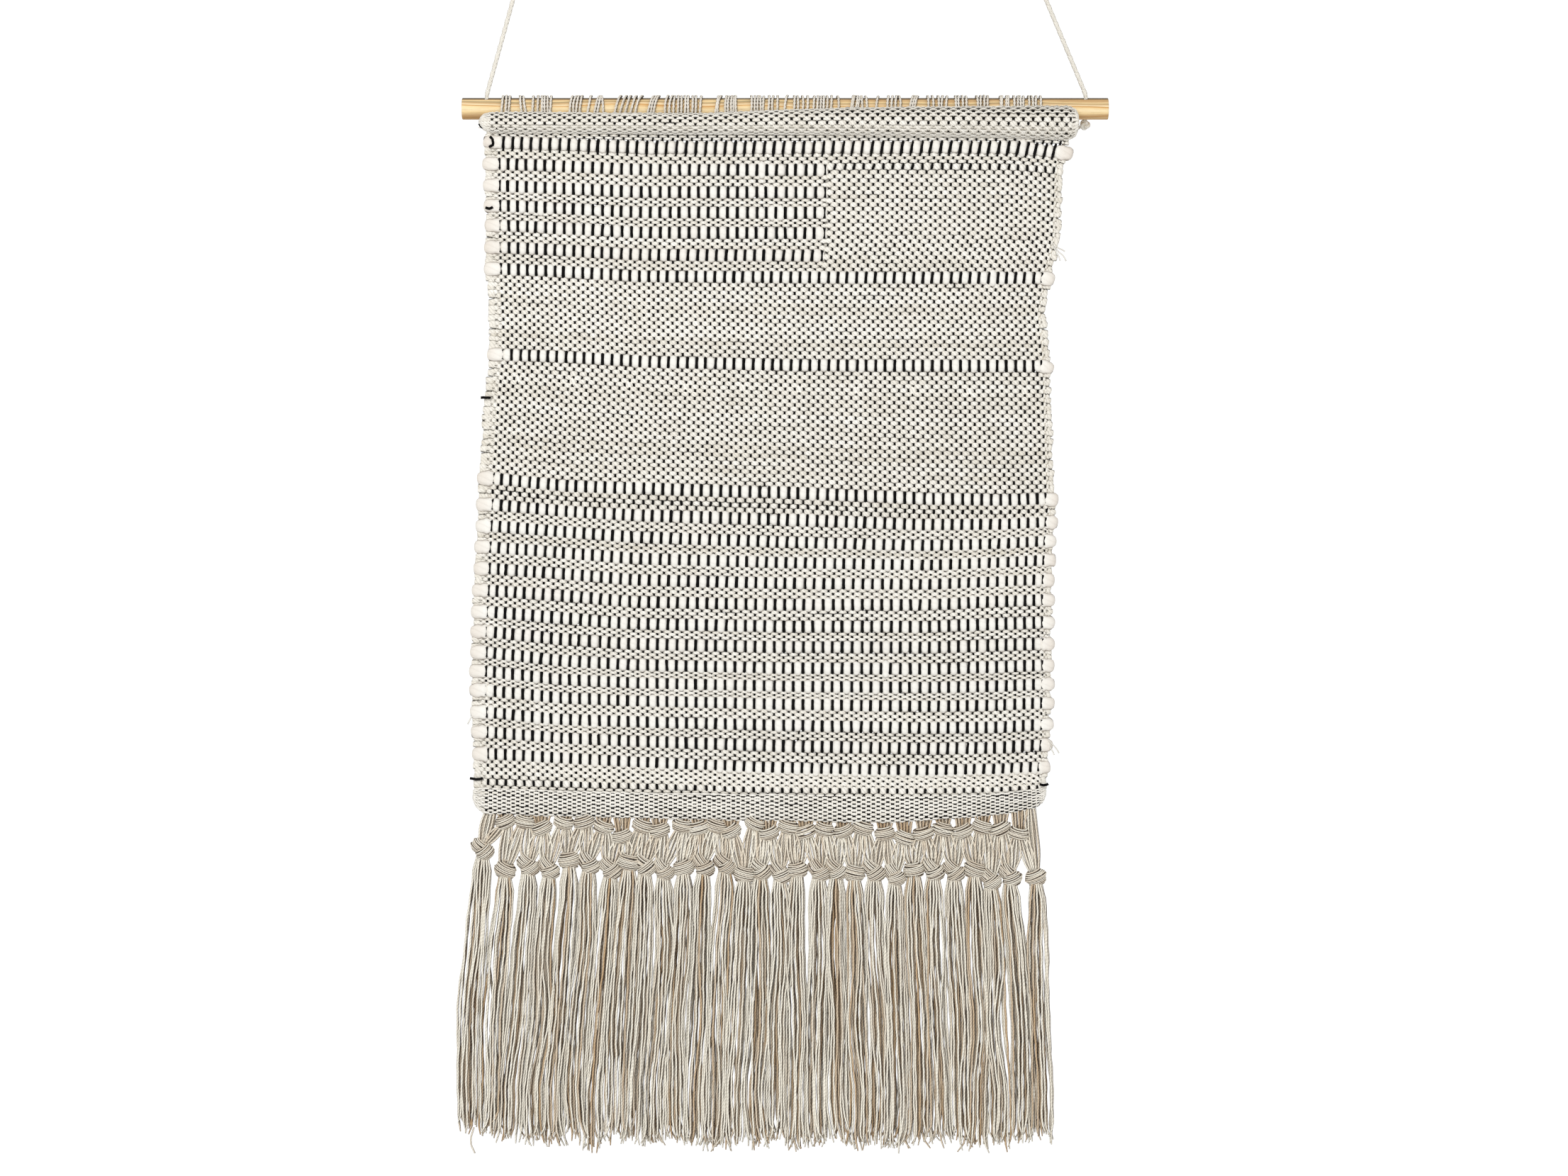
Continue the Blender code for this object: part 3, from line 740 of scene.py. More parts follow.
# how far a row sags below its left end, in mm: one line for each height
sagAcross = np.array([0.0, 0.13, 0.26, 0.53, 0.79, 0.92, 1.0, 1.06])
sagHeights = np.array([20, 30, 150, 229, 344, 388, 447, 504, 560, 598, 625, 655]) * mm
sagTable = np.array([
    (0.0, 1.0, 1.5, 2.0, 2.5, 3.0, 3.5, 4.0),
    (0.0, 2.6, 5.2, 5.2, 4.6, 5.2, 9.0, 13.0),
    (0.0, 3.3, 7.2, 8.0, 8.5, 8.5, 8.5, 11.5),
    (0.0, 2.6, 6.5, 9.8, 10.5, 10.5, 11.0, 15.0),
    (0.0, 7.0, 9.2, 13.0, 19.0, 20.3, 19.0, 20.0),
    (0.0, 5.3, 10.5, 15.0, 18.3, 16.4, 13.8, 14.0),
    (0.0, 4.6, 10.5, 13.1, 13.1, 9.8, 8.5, 10.0),
    (0.0, 7.9, 11.8, 15.0, 15.7, 13.8, 12.5, 13.0),
    (0.0, 6.5, 8.5, 11.8, 14.4, 13.8, 11.1, 11.0),
    (0.0, 4.0, 7.9, 13.8, 16.4, 15.0, 13.1, 12.0),
    (0.0, 2.0, 3.5, 7.5, 8.0, 7.0, 5.0, 2.0),
    (0.0, 3.3, 4.6, 6.6, 6.6, 3.3, -2.6, -6.0)]) * mm


def sagOf(across, drop):
    # bilinear reading of the sag table at each pair of across and drop
    row = np.interp(drop, sagHeights, np.arange(len(sagHeights)))
    low = np.clip(np.floor(row).astype(int), 0, len(sagHeights) - 2)
    part = row - low
    readings = np.stack([np.interp(across, sagAcross, line) for line in sagTable])
    spots = np.arange(len(across))
    return (1 - part) * readings[low, spots] + part * readings[low + 1, spots]


# space after each warp, closer at both selvedges, and each warp's share of the way across
fromEdge = np.exp(-np.arange(lastWarp) / clothPlan["crowdedWarps"])
warpSpaces = 1 - clothPlan["crowding"] * (fromEdge + fromEdge[::-1])
warpShare = np.concatenate([[0], np.cumsum(warpSpaces)]) / warpSpaces.sum()


def acrossOf(warp):
    # share of the way from warp 0 to the last warp; beyond them it runs on at the bands' pace
    warp = np.asarray(warp, float)
    inside = np.interp(warp, np.arange(lastWarp + 1), warpShare)
    return inside + (np.minimum(warp, 0) + np.maximum(warp - lastWarp, 0)) * clothPlan["bandPace"]


def clothX(warp, drop):
    # x of a warp number at a drop, from the two selvedge lines
    warp = np.asarray(warp, float)
    left = np.interp(drop, leftEdge[:, 0], leftEdge[:, 1])
    right = np.interp(drop, rightEdge[:, 0], rightEdge[:, 1])
    band = clothPlan["edgeBand"]
    inner, outer = left + band["left"], right - band["right"]
    inside = inner + (outer - inner) * np.interp(warp, np.arange(lastWarp + 1), warpShare)
    beyond = (np.minimum(warp, 0) * band["left"]
              + np.maximum(warp - lastWarp, 0) * band["right"]) / clothPlan["bandWarps"]
    return inside + beyond


def drapeY(x, drop):
    # slow shallow waves in depth, the sum of two sines that grow from the hem down
    grow = np.clip((drop - 0.03) / 0.4, 0, 1)
    return grow * (0.9 * mm * np.sin(x * 17 + drop * 5) + 0.6 * mm * np.sin(x * 31 - drop * 9 + 1.3))


thin, rib, double = "thin", "rib", "double"
# deep: half depth of the yarn; lift: how far it swings out and in; warpLift, warpWide: the warp there;
# fill: half height of the yarn over half height of its row
rowKinds = {
    thin: {"deep": 0.95 * mm, "lift": 0.95 * mm, "warpLift": 1.1 * mm, "warpWide": 1.0, "fill": 1.76},
    rib: {"deep": 2.5 * mm, "lift": 1.8 * mm, "warpLift": 2.3 * mm, "warpWide": 1.55, "fill": 1.18},
    double: {"deep": 1.6 * mm, "lift": 1.4 * mm, "warpLift": 1.9 * mm, "warpWide": 1.3, "fill": 1.2},
}
ribHalf = 5.5 * mm
doubleHalf = 3.3 * mm
upperRibs = np.array([32.6, 52.9, 73.2, 91.6, 109.9, 130.2, 149.9]) * mm
middleRib = 229.2 * mm
lowerRibs = np.array([343.9, 368.1, 387.8, 407.4, 427.1, 447.4, 467.1, 485.5, 504.5, 522.1, 539.8,
                      560.2, 578.5, 598.2]) * mm
rightDouble = 50.0 * mm          # the doubled row right of the split
lastDouble = 624.5 * mm
panelTop, panelEnd = 17.8 * mm, 632.5 * mm
# thin rows in each stretch
rowCounts = {"aboveFirst": 5, "betweenRibs": 3, "rightAbove": 3, "rightBelow": 25, "aboveMiddle": 19,
             "belowMiddle": 29, "underLast": 5, "atEnd": 2}
# where rows stop or start, in warps right of the split
seamReach = {"leftThin": -0.4, "leftRib": 0.3, "rightThin": -0.7, "rightDouble": -0.4}
# warps at which two strips of a rib are joined
stripJoins = {upperRibs[0]: (108,), upperRibs[1]: (55,), upperRibs[3]: (9, 58), upperRibs[5]: (56,),
              upperRibs[6]: (105,), lowerRibs[3]: (40,), lowerRibs[8]: (83,), lowerRibs[11]: (22,)}
clusterRow, clusterEvery = 4, 12     # a row under the middle rib has bars this many warps apart


def thinRows(first, finish, count, **more):
    # thin rows that share a stretch evenly; at the split, every other row starts or ends one warp on
    pitch = (finish - first) / count
    rows = []
    for i in range(count):
        rows.append({"drop": first + pitch * (i + 0.5), "half": pitch / 2, "kind": thin, **more})
    for row in rows[::2]:
        for side in ("start", "end"):
            if side in row:
                row[side] += 1.0
    return rows


def ribRow(drop, **more):
    return {"drop": drop, "half": ribHalf, "kind": rib, "lumps": stripJoins.get(drop, ()), **more}


def doubleRow(drop, **more):
    return {"drop": drop, "half": doubleHalf, "kind": double, **more}


def numbered(rows, parity):
    # rows take turns to pass over the odd and the even warps
    for place, row in enumerate(rows):
        row["parity"] = (parity + place) % 2


def planRows():
    # all rows as four lists: full rows above the split block, its left and right halves, and the rest
    split, count = clothPlan["splitWarp"], rowCounts
    leftEnd, ribEnd = split + seamReach["leftThin"], split + seamReach["leftRib"]
    rightStart = split + seamReach["rightThin"]
    top = thinRows(panelTop, upperRibs[0] - ribHalf, count["aboveFirst"]) + [ribRow(upperRibs[0], out=5.2)]
    left = []
    for before, here in zip(upperRibs[:-1], upperRibs[1:]):
        left += thinRows(before + ribHalf, here - ribHalf, count["betweenRibs"], end=leftEnd)
        if here != upperRibs[-1]:
            left.append(ribRow(here, end=ribEnd))
    right = thinRows(upperRibs[0] + ribHalf, rightDouble - doubleHalf, count["rightAbove"], start=rightStart)
    right.append(doubleRow(rightDouble, start=split + seamReach["rightDouble"]))
    right += thinRows(rightDouble + doubleHalf, upperRibs[-1] - ribHalf, count["rightBelow"],
                      start=rightStart)
    rest = [ribRow(upperRibs[-1])]
    rest += thinRows(upperRibs[-1] + ribHalf, middleRib - ribHalf, count["aboveMiddle"])
    between = thinRows(middleRib + ribHalf, lowerRibs[0] - ribHalf, count["belowMiddle"])
    between[clusterRow].update(lumps=np.arange(4, lastWarp + 1, clusterEvery), lumpSize=0.7)
    rest += [ribRow(middleRib)] + between
    for before, here in zip(lowerRibs[:-1], lowerRibs[1:]):
        rows = thinRows(before + ribHalf, here - ribHalf, count["betweenRibs"])
        if here == lowerRibs[1]:
            rows[1]["kind"] = double
        rest += [ribRow(before)] + rows
    rest.append(ribRow(lowerRibs[-1]))
    rest += thinRows(lowerRibs[-1] + ribHalf, lastDouble - doubleHalf, count["underLast"])
    rest.append(doubleRow(lastDouble))
    rest += thinRows(lastDouble + doubleHalf, panelEnd, count["atEnd"])
    for rows, parity in ((top, 1), (left, 0), (right, 0), (rest, 1)):
        numbered(rows, parity)
    return top, left, right, rest


def rowSamples(start, end):
    # three samples to a warp step; bands at the selvedges turn round to the back
    warp = np.arange(round(start * 3), round(end * 3) + 1) / 3
    turn = np.zeros(len(warp))               # 0 on the front, up to 1 at the back
    edge = np.array([1, 2, 3, 4, 5, 6, 7, 8.5, 10.2, 11.6, 12.4, 12.4, 11.4, 9.0, 5.4, 2.4]) / 3
    way = np.array([0, 0, 0, 0, 0, 0, 0, 0, 0.06, 0.2, 0.38, 0.62, 0.85, 1, 1, 1])
    if start <= 0:
        warp, turn = np.concatenate([-edge[::-1], warp]), np.concatenate([way[::-1], turn])
    if end >= lastWarp:
        warp, turn = np.concatenate([warp, lastWarp + edge]), np.concatenate([turn, way])
    return warp, turn


weave = {
    "bandBeads": 2.7,            # thin rows go on as beads this many warps into the bands
    "bandFrom": 3.5,             # warps over which a row's end takes on the band's ways
    "wander": 0.22 * mm, "uneven": 0.07,
    "swerve": (0.22, 0.28),      # how far a band's thin rows lean together: mean and spread, in row halves
    # how far row ends stand out past the selvedge, in mm: mean and spread
    "ribOutLeft": 0.3, "ribOutRight": 1.8, "ribOutSpread": 0.5, "thinOut": (-0.2, 0.7),
    "bandDepthRib": 1.9, "bandDepthThin": 1.35,
    "seamTuck": 1.6 * mm, "tuckWarps": 0.6,
    "joinSize": 0.35, "joinWarps": 1.1,
    "toneRib": 0.85, "toneThin": 0.62,
    # the warps at the seam go behind, between these drops
    "seamBack": 2.4 * mm, "seamWarps": 0.9, "seamMiddle": 91 * mm, "seamHalf": 54 * mm,
}


def rowTubes(rows, start, end, rng, sides):
    # one tube to a row. Depth swings as the cosine of the warp number, so a row passes over one warp
    # and under the next; the tube is tallest over a warp and pinched between warps
    count = len(rows)
    warp, turn = rowSamples(start, end)
    length = len(warp)
    drop0 = np.array([row["drop"] for row in rows])[:, None]
    kinds = [rowKinds[row["kind"]] for row in rows]
    half = np.array([row["half"] * kind["fill"] for row, kind in zip(rows, kinds)])[:, None]
    lift = np.array([kind["lift"] for kind in kinds])[:, None]
    deep = np.array([kind["deep"] for kind in kinds])[:, None]
    isRib = np.array([row["kind"] == rib for row in rows])[:, None]
    parity = np.array([row["parity"] for row in rows])[:, None]
    swing = np.cos(math.pi * (warp[None] + parity))
    reach = np.where(isRib, 0, weave["bandBeads"])
    inside = (warp[None] >= -reach) & (warp[None] <= lastWarp + reach) & (turn[None] < 0.01)
    beyond = np.clip((np.abs(warp - lastWarp / 2) - lastWarp / 2) / weave["bandFrom"], 0, 1)[None]
    atRight = (warp > lastWarp / 2)[None]

    sag = np.stack([sagOf(acrossOf(warp), np.full(length, drop)) for drop in drop0[:, 0]])
    wander = slowNoise(rng, count, length, 14) * weave["wander"]
    drop = drop0 + sag + wander * np.minimum(1, half / (2 * mm))
    order = np.where(np.arange(count) % 2, 1, -1)[:, None]
    swerve = rng.normal(*weave["swerve"], (count, 1)) * half * beyond ** 1.5
    drop = drop + np.where(isRib, 0, order * swerve * np.where(atRight, -1, 1))

    far = np.array([row.get("out", weave["ribOutRight"]) for row in rows])[:, None]
    ribOut = np.where(atRight, far, weave["ribOutLeft"]) + rng.normal(0, weave["ribOutSpread"], (count, 1))
    out = np.where(isRib, ribOut, rng.normal(*weave["thinOut"], (count, 1)))
    x = clothX(warp[None], drop) + np.sign(warp - lastWarp / 2)[None] * beyond ** 2 * out * mm

    bandDepth = np.where(isRib, weave["bandDepthRib"], weave["bandDepthThin"])
    depth = np.where(inside, -lift * swing, (2 * turn[None] - 1) * bandDepth * mm)
    for isCut, cutEnd in ((start > 0, start), (end < lastWarp, end)):
        if isCut:
            depth = depth + weave["seamTuck"] * np.exp(-((warp - cutEnd) / weave["tuckWarps"]) ** 2)[None]
    y = clothPlan["middleY"] + drapeY(x, drop) + depth

    fat = 1 + slowNoise(rng, count, length, 3) * weave["uneven"]
    for place, row in enumerate(rows):
        for lump in row.get("lumps", ()):
            size = row.get("lumpSize", weave["joinSize"])
            fat[place] += size * np.exp(-((warp - lump) / weave["joinWarps"]) ** 2)
    thinOver = np.where(inside, 0.52 + 0.48 * np.abs(swing) ** 0.8, 0.95)
    ribOver = np.where(inside, 0.88 + 0.12 * np.maximum(swing, -0.2),
                       1.0 - 0.2 * np.sin(math.pi * turn)[None])
    tall = half * fat * np.where(isRib, ribOver, thinOver)
    tubes = sweepTubes(np.stack([x, y, axisZ - drop], -1), tall, deep * (0.92 + 0.12 * np.abs(swing)),
                       (0, 1, 0), sides)

    tone = np.where(isRib, weave["toneRib"], weave["toneThin"]) + 0.12 * rng.normal(0, 1, (count, 1))
    tone = tone + np.where(isRib, 0.05, 0.10) * slowNoise(rng, count, length, 5)
    # painted light and shade: lighter where a row bulges over a warp, darker where it dips between warps,
    # and darker still, most in the ribs, where it turns round the selvedge
    crownAndDipShade = np.where(inside, 0.30 * np.abs(swing) - 0.16, 0.0) - np.where(isRib, 0.55, 0.2) * beyond
    return toneEach(tubes, np.clip(tone + crownAndDipShade, -0.2, 1.0))


def weftTubes(rows, rng, sides):
    # rows that start and end at the same warps are swept together
    reaches = sorted({(row.get("start", 0), row.get("end", lastWarp)) for row in rows})
    sets = []
    for start, end in reaches:
        these = [row for row in rows if (row.get("start", 0), row.get("end", lastWarp)) == (start, end)]
        sets.append(rowTubes(these, start, end, rng, sides))
    return joinTubes(sets)


bandEnds = {"weftUpper": 205 * mm, "weftPlain": 400 * mm, "weftMiddle": 515 * mm, "weftLower": 1.0}


def makePanel():
    # bands of thin rows, the ribs and doubled rows, and the warps that run through them all
    top, left, right, rest = planRows()
    rows = top + left + right + rest
    rng = np.random.default_rng(11)
    bands, pieces, bandStart = {}, {}, 0.0
    for name, bandEnd in bandEnds.items():
        bands[name] = [row for row in rows if row["kind"] == thin and bandStart < row["drop"] < bandEnd]
        bandStart = bandEnd
        pieces[name] = putMesh(name, weftTubes(bands[name], rng, 6), yarns["groundWeft"],
                               "cloth")
    for name, isHere in (("ribsUpper", lambda drop: drop < lowerRibs[0]),
                         ("ribsLower", lambda drop: drop >= lowerRibs[0])):
        ribs = [row for row in rows if row["kind"] == rib and isHere(row["drop"])]
        pieces[name] = putMesh(name, weftTubes(ribs, rng, 12), yarns["jerseyStrip"], "cloth")
    doubles = [row for row in rows if row["kind"] == double]
    pieces["doubledRows"] = putMesh("doubledRows", weftTubes(doubles, rng, 8), yarns["groundWeft"],
                                    "cloth")
    putMesh("seamBack", seamTubes(np.random.default_rng(12)), yarns["groundWeft"], "cloth")
    for name, tubes in warpTubes(top, left, right, rest, rng).items():
        putMesh(name, tubes, yarns["blackWarp"], "cloth")
    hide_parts("woven_panel")


def seamTubes(rng):
    # a flat cream yarn down the back of the seam, where the turned ends of the strips are tucked away
    drop = np.linspace(upperRibs[0] + 2 * mm, upperRibs[-1], 30)
    split = clothPlan["splitWarp"] + 0.1
    sagged = drop + sagOf(np.full(len(drop), float(acrossOf(split))), drop)
    x = clothX(split, sagged) + slowNoise(rng, 1, len(drop), 4)[0] * 0.3 * mm
    path = np.stack([x, clothPlan["middleY"] + 1.9 * mm + drapeY(x, sagged), axisZ - sagged], -1)
    return toned(sweepTubes(path[None], 2.9 * mm, 0.8 * mm, (0, 1, 0), 8), rng, 0.3, 0.5)


def blockWarps(numbers, rows, rng):
    # each warp passes a row on the side away from the weft, with two points at every row
    rows = sorted(rows, key=lambda row: row["drop"])
    kinds = [rowKinds[row["kind"]] for row in rows]
    drops = np.array([row["drop"] for row in rows])
    halves = np.array([row["half"] for row in rows])
    lift = np.array([kind["warpLift"] for kind in kinds])
    parity = np.array([row["parity"] for row in rows])
    isRib = np.array([row["kind"] == rib for row in rows])
    reach = np.where(isRib, 0.72, 0.4) * halves
    drop = np.concatenate([[panelTop - 3.8 * mm], np.stack([drops - reach, drops + reach], 1).ravel(),
                           [panelEnd + 6 * mm]])
    depth = np.repeat(np.cos(math.pi * (numbers[:, None] + parity[None])) * lift, 2, axis=1)
    depth = np.pad(depth, ((0, 0), (1, 1)))
    wide = np.pad(np.repeat([kind["warpWide"] for kind in kinds], 2), (1, 1), constant_values=1.0)
    count, length = len(numbers), len(drop)
    sagged = np.stack([drop + sagOf(np.full(length, across), drop) for across in acrossOf(numbers)])
    x = clothX(numbers[:, None].astype(float), sagged)
    x = x + slowNoise(rng, count, length, 3) * np.where(wide > 1, 0.42, 0.24) * mm
    besideSeam = np.exp(-((numbers - clothPlan["splitWarp"]) / weave["seamWarps"]) ** 2)[:, None]
    atSeam = (np.abs(drop - weave["seamMiddle"]) < weave["seamHalf"])[None]
    y = clothPlan["middleY"] + drapeY(x, sagged) + depth + weave["seamBack"] * besideSeam * atSeam
    radius = clothPlan["warpRadius"] * wide[None] * (1 + 0.08 * slowNoise(rng, count, length, 3))
    tubes = sweepTubes(np.stack([x, y, axisZ - sagged], -1), radius, radius * 0.95, (0, 1, 0), 5)
    return toned(tubes, rng, 0.2, 0.8)


def warpTubes(top, left, right, rest, rng):
    # three blocks of warps; the one right of the split passes the right half's rows
    blocks = {"warpsLeft": (0, 36, left), "warpsMiddle": (36, 69, left),
              "warpsRight": (69, lastWarp + 1, right)}
    return {name: blockWarps(np.arange(first, stop), top + half + rest, rng)
            for name, (first, stop, half) in blocks.items()}


makePanel()
print("panel woven")

# rolled hems: the same weave packed tighter and rolled
hems = {
    "topHem": {
        # x, drop of the roll's top and of its bottom
        "stations": np.array([(-283, 13.5, 16.0), (-281, 10.0, 19.0), (-278, 7.4, 22.0), (-272, 6.0, 23.6),
                              (-170, 6.8, 24.0), (-70, 7.2, 24.6), (0, 4.0, 25.0), (60, 2.2, 25.6),
                              (160, 1.2, 27.0), (240, 0.6, 29.0), (262, 0.8, 30.0), (268, 3.0, 27.0),
                              (270.5, 8.0, 20.0), (271, 12.0, 16.0)]) * mm,
        "ends": (-283 * mm, 271 * mm), "planDrop": 20 * mm,
        "middleY": -17.0 * mm, "halfDeep": 6.2 * mm,
        # round the roll: share of the way down, share of the depth (1 is the front)
        "profile": [(math.sin(a) / 2 + 0.5, math.cos(a)) for a in np.linspace(-math.pi, math.pi, 33)],
        "rows": 24, "half": 1.75 * mm, "warpHalf": 1.45 * mm, "spread": (9.0, 6.0), "pressedAt": 0.76,
        "beads": 1.0, "tone": 0.60, "replaces": "top_hem",
    },
    "bottomHem": {
        "stations": np.array([(-288.5, 633, 640), (-287, 632, 645), (-283, 631, 650), (-277, 631, 653.4),
                              (-202, 634.5, 656.4), (-136, 636, 657.8), (-70, 637, 659.2), (-5, 637.5, 660),
                              (60, 638, 661.6), (100, 638, 661.6), (126, 638, 660), (176, 637, 656.8),
                              (205, 635, 653.6), (230, 632.5, 648.5), (238, 631, 643),
                              (241, 630, 636)]) * mm,
        "ends": (-288.5 * mm, 241 * mm), "planDrop": 640 * mm,
        "middleY": -15.5 * mm, "halfDeep": 3.2 * mm,
        "profile": [(-0.02, 0.35), (0.25, 0.8), (0.7, 1.0), (0.92, 0.75), (1, 0.0), (0.92, -0.75),
                    (0.7, -1), (0.25, -0.8), (-0.02, -0.35)],
        "rows": 28, "half": 0.84 * mm, "warpHalf": 1.9 * mm, "spread": (24.0, 3.2), "pressedAt": 2.0,
        "beads": 3.2, "tone": 0.78, "replaces": "bottom_hem",
    },
}
hemWeave = {
    "lift": 0.75 * mm, "pressedLift": 0.35 * mm, "wander": 0.25 * mm, "deep": 0.92 * mm, "drape": 0.6,
    "pressedShare": 0.13, "pressedIn": 1.4 * mm, "warpOut": 0.5 * mm, "warpDeep": 0.6 * mm,
    # rows are taller where the roll is: height of the roll, and how much taller
    "rolls": (17 * mm, 28 * mm), "taller": (1.0, 1.75),
}


def rollPlaces(hem, count):
    # even places along the roll's outline: share of the way down and share of the depth
    points = np.array(hem["profile"], float)
    steps = np.linalg.norm(np.diff(points * hem["spread"], axis=0), axis=1)
    gone = np.concatenate([[0], np.cumsum(steps)])
    want = np.linspace(0, gone[-1], count)
    return np.stack([np.interp(want, gone, points[:, i]) for i in (0, 1)], 1)


def rollNormals(hem, spots):
    # outward direction (down, front) at each row: the outline's slope turned a quarter, away from the middle
    fine = 121
    slope = np.gradient(rollPlaces(hem, fine) * np.array(hem["spread"]), axis=0)
    outward = unit(np.stack([slope[:, 1], -slope[:, 0]], 1))
    outward = outward[np.linspace(0, fine - 1, hem["rows"]).astype(int)]
    side = np.sign((outward * (spots - np.array([0.5, 0.0]))).sum(1, keepdims=True))
    return outward * np.where(side == 0, 1, side)


def pressedIn(hem, spots):
    # bell curve round the height at which the lashings press the front of the roll
    bell = np.exp(-((spots[:, 0] - hem["pressedAt"]) / hemWeave["pressedShare"]) ** 2)
    return bell * (spots[:, 1] > 0)


def hemShape(hem):
    # x of each sample from the cloth's own warps, top and height of the roll from its stations
    warp = np.arange(-12, 3 * (lastWarp + 4) + 1) / 3
    line = clothX(warp, hem["planDrop"])
    low, high = hem["ends"]
    x = low + (high - low) * (line - line[0]) / (line[-1] - line[0])
    stations = hem["stations"]
    top = np.interp(x, stations[:, 0], stations[:, 1])
    rise = np.interp(x, stations[:, 0], stations[:, 2]) - top
    squeeze = np.clip(rise / (15 * mm), 0.12, 1)      # the roll thins out at its ends
    spots = rollPlaces(hem, hem["rows"])
    return {"warp": warp, "x": x, "top": top, "rise": rise, "squeeze": squeeze,
            "deep": hem["halfDeep"] * np.sqrt(squeeze), "spots": spots, "outward": rollNormals(hem, spots)}


def hemWeft(hem, shape, rng):
    # rows lie along x on the roll's outline; they swing outward by the cosine of the warp number
    look, warp, x, squeeze = hemWeave, shape["warp"], shape["x"], shape["squeeze"]
    spots, outward = shape["spots"], shape["outward"]
    count, length = hem["rows"], len(warp)
    swing = np.cos(math.pi * (warp[None] + np.arange(count)[:, None]))
    inside = ((warp > -hem["beads"]) & (warp < lastWarp + hem["beads"]))[None]
    pressed = pressedIn(hem, spots)[:, None]
    lift = np.where(inside, (look["lift"] + look["pressedLift"] * pressed) * swing, 0)
    drop = shape["top"] + shape["rise"] * spots[:, :1] + lift * outward[:, :1]
    drop = drop + slowNoise(rng, count, length, 12) * look["wander"]
    y = hem["middleY"] + drapeY(x, drop) * look["drape"] - shape["deep"] * spots[:, 1:] \
        - lift * outward[:, 1:]
    paths = np.stack([np.broadcast_to(x, drop.shape), y, axisZ - drop], -1)
    normal = np.stack([np.zeros(count), -outward[:, 1], -outward[:, 0]], 1)[:, None]
    tall = hem["half"] * (0.76 + 0.46 * np.abs(swing)) * (0.35 + 0.65 * squeeze)
    tall = tall * np.where(inside, np.interp(shape["rise"], look["rolls"], look["taller"]), 1.0)
    tall = tall * (1 + 0.06 * slowNoise(rng, count, length, 3))
    weft = sweepTubes(paths, tall, look["deep"] * (0.5 + 0.5 * squeeze), normal, 6)
    # painted shade: darker in the groove where the lashings press, lighter on crowns over warps and darker
    # in the dips
    tone = hem["tone"] + 0.10 * rng.normal(0, 1, (count, 1)) - 0.22 * pressed
    tone = tone + 0.10 * slowNoise(rng, count, length, 5) + 0.3 * np.abs(swing) - 0.16
    return toneEach(weft, np.clip(tone, 0.05, 1))


def hemWarps(hem, shape, rng):
    # warps go round the roll, out where the weft is in; a point at each row and one between
    look, outward, count = hemWeave, shape["outward"], hem["rows"]
    numbers = np.arange(lastWarp + 1)
    at = numbers * 3 + 12
    spots = rollPlaces(hem, count * 2 - 1)
    row = np.arange(count * 2 - 1) / 2
    out = np.stack([np.interp(row, np.arange(count), outward[:, i]) for i in (0, 1)], 1)
    wave = -np.cos(math.pi * (numbers[:, None] + row[None])) * np.where(row % 1 == 0, 1, 0)[None]
    bump = wave * look["warpOut"] - pressedIn(hem, spots)[None] * look["pressedIn"]
    x, top, rise, deep = (shape[key][at][:, None] for key in ("x", "top", "rise", "deep"))
    drop = top + rise * spots[None, :, 0] + bump * out[None, :, 0]
    y = hem["middleY"] + drapeY(x[:, 0], drop[:, 0])[:, None] * look["drape"] \
        - deep * spots[None, :, 1] - bump * out[None, :, 1]
    paths = np.stack([np.broadcast_to(x, drop.shape), y, axisZ - drop], -1)
    normal = np.stack([np.zeros(len(out)), -out[:, 1], -out[:, 0]], 1)[None]
    return toned(sweepTubes(paths, hem["warpHalf"], look["warpDeep"], normal, 5), rng, 0.2, 0.8)


def makeHems():
    rng = np.random.default_rng(23)
    for name, hem in hems.items():
        shape = hemShape(hem)
        weft = hemWeft(hem, shape, rng)
        piece = putMesh(name, weft, yarns["groundWeft"], "cloth")
        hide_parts(hem["replaces"])
        putMesh(f"{name}Warps", hemWarps(hem, shape, rng), yarns["blackWarp"], "cloth")


makeHems()
print("hems rolled")

# lashings: two-ply strands from the hem round the dowel
lashing = {
    "circle": 1.62 * mm, "plyTurn": 7.0 * mm, "plyRadius": 0.88 * mm, "plyApart": 0.55 * mm,
    "from": -0.62 * math.pi, "to": 1.40 * math.pi,       # angles at which a strand leaves the hem
    "dip": 3.0 * mm, "dipAngle": 0.3,
    "circleSpread": 0.2 * mm, "leanSpread": 0.45, "wander": 0.4 * mm,
    "bands": 17,                 # CAD nodes lashing_01 and on
    # strands in a group, x of its first and last strand at the hem, lean from hem to top, in mm
    "groups": [(3, -263, -256, 1), (2, -242, -239, -4.5), (2, -234, -230.5, 0.5), (4, -225.5, -217.5, 0),
               (4, -200, -192, 3.5), (1, -184, -184, 4.5), (2, -178, -175, 5), (1, -167.5, -167.5, -4),
               (5, -160, -141, 8), (3, -129, -124, 7.5), (2, -112, -108.5, 4), (8, -103, -79, 0),
               (2, -65.5, -63, 4), (4, -56, -48, 1), (1, -45, -45, -1), (5, -31, -20, 0), (1, -16, -16, 1),
               (1, -11.5, -11.5, 0), (1, -7.5, -7.5, 0), (1, -2, -2, 4), (4, 8, 20, 0), (3, 26, 32, 1.5),
               (3, 35, 42, 1), (1, 49.5, 49.5, 0), (4, 59, 66, 4), (2, 73, 77, -2), (1, 83.5, 83.5, 2),
               (4, 95, 106, 0.5), (3, 113, 118, 6), (3, 133, 142, -0.5), (2, 144, 148, 2),
               (4, 159, 168, -1), (4, 178, 188, 0), (4, 199, 206.5, 0), (4, 212.5, 221, 0),
               (4, 226, 236, 0)],
}


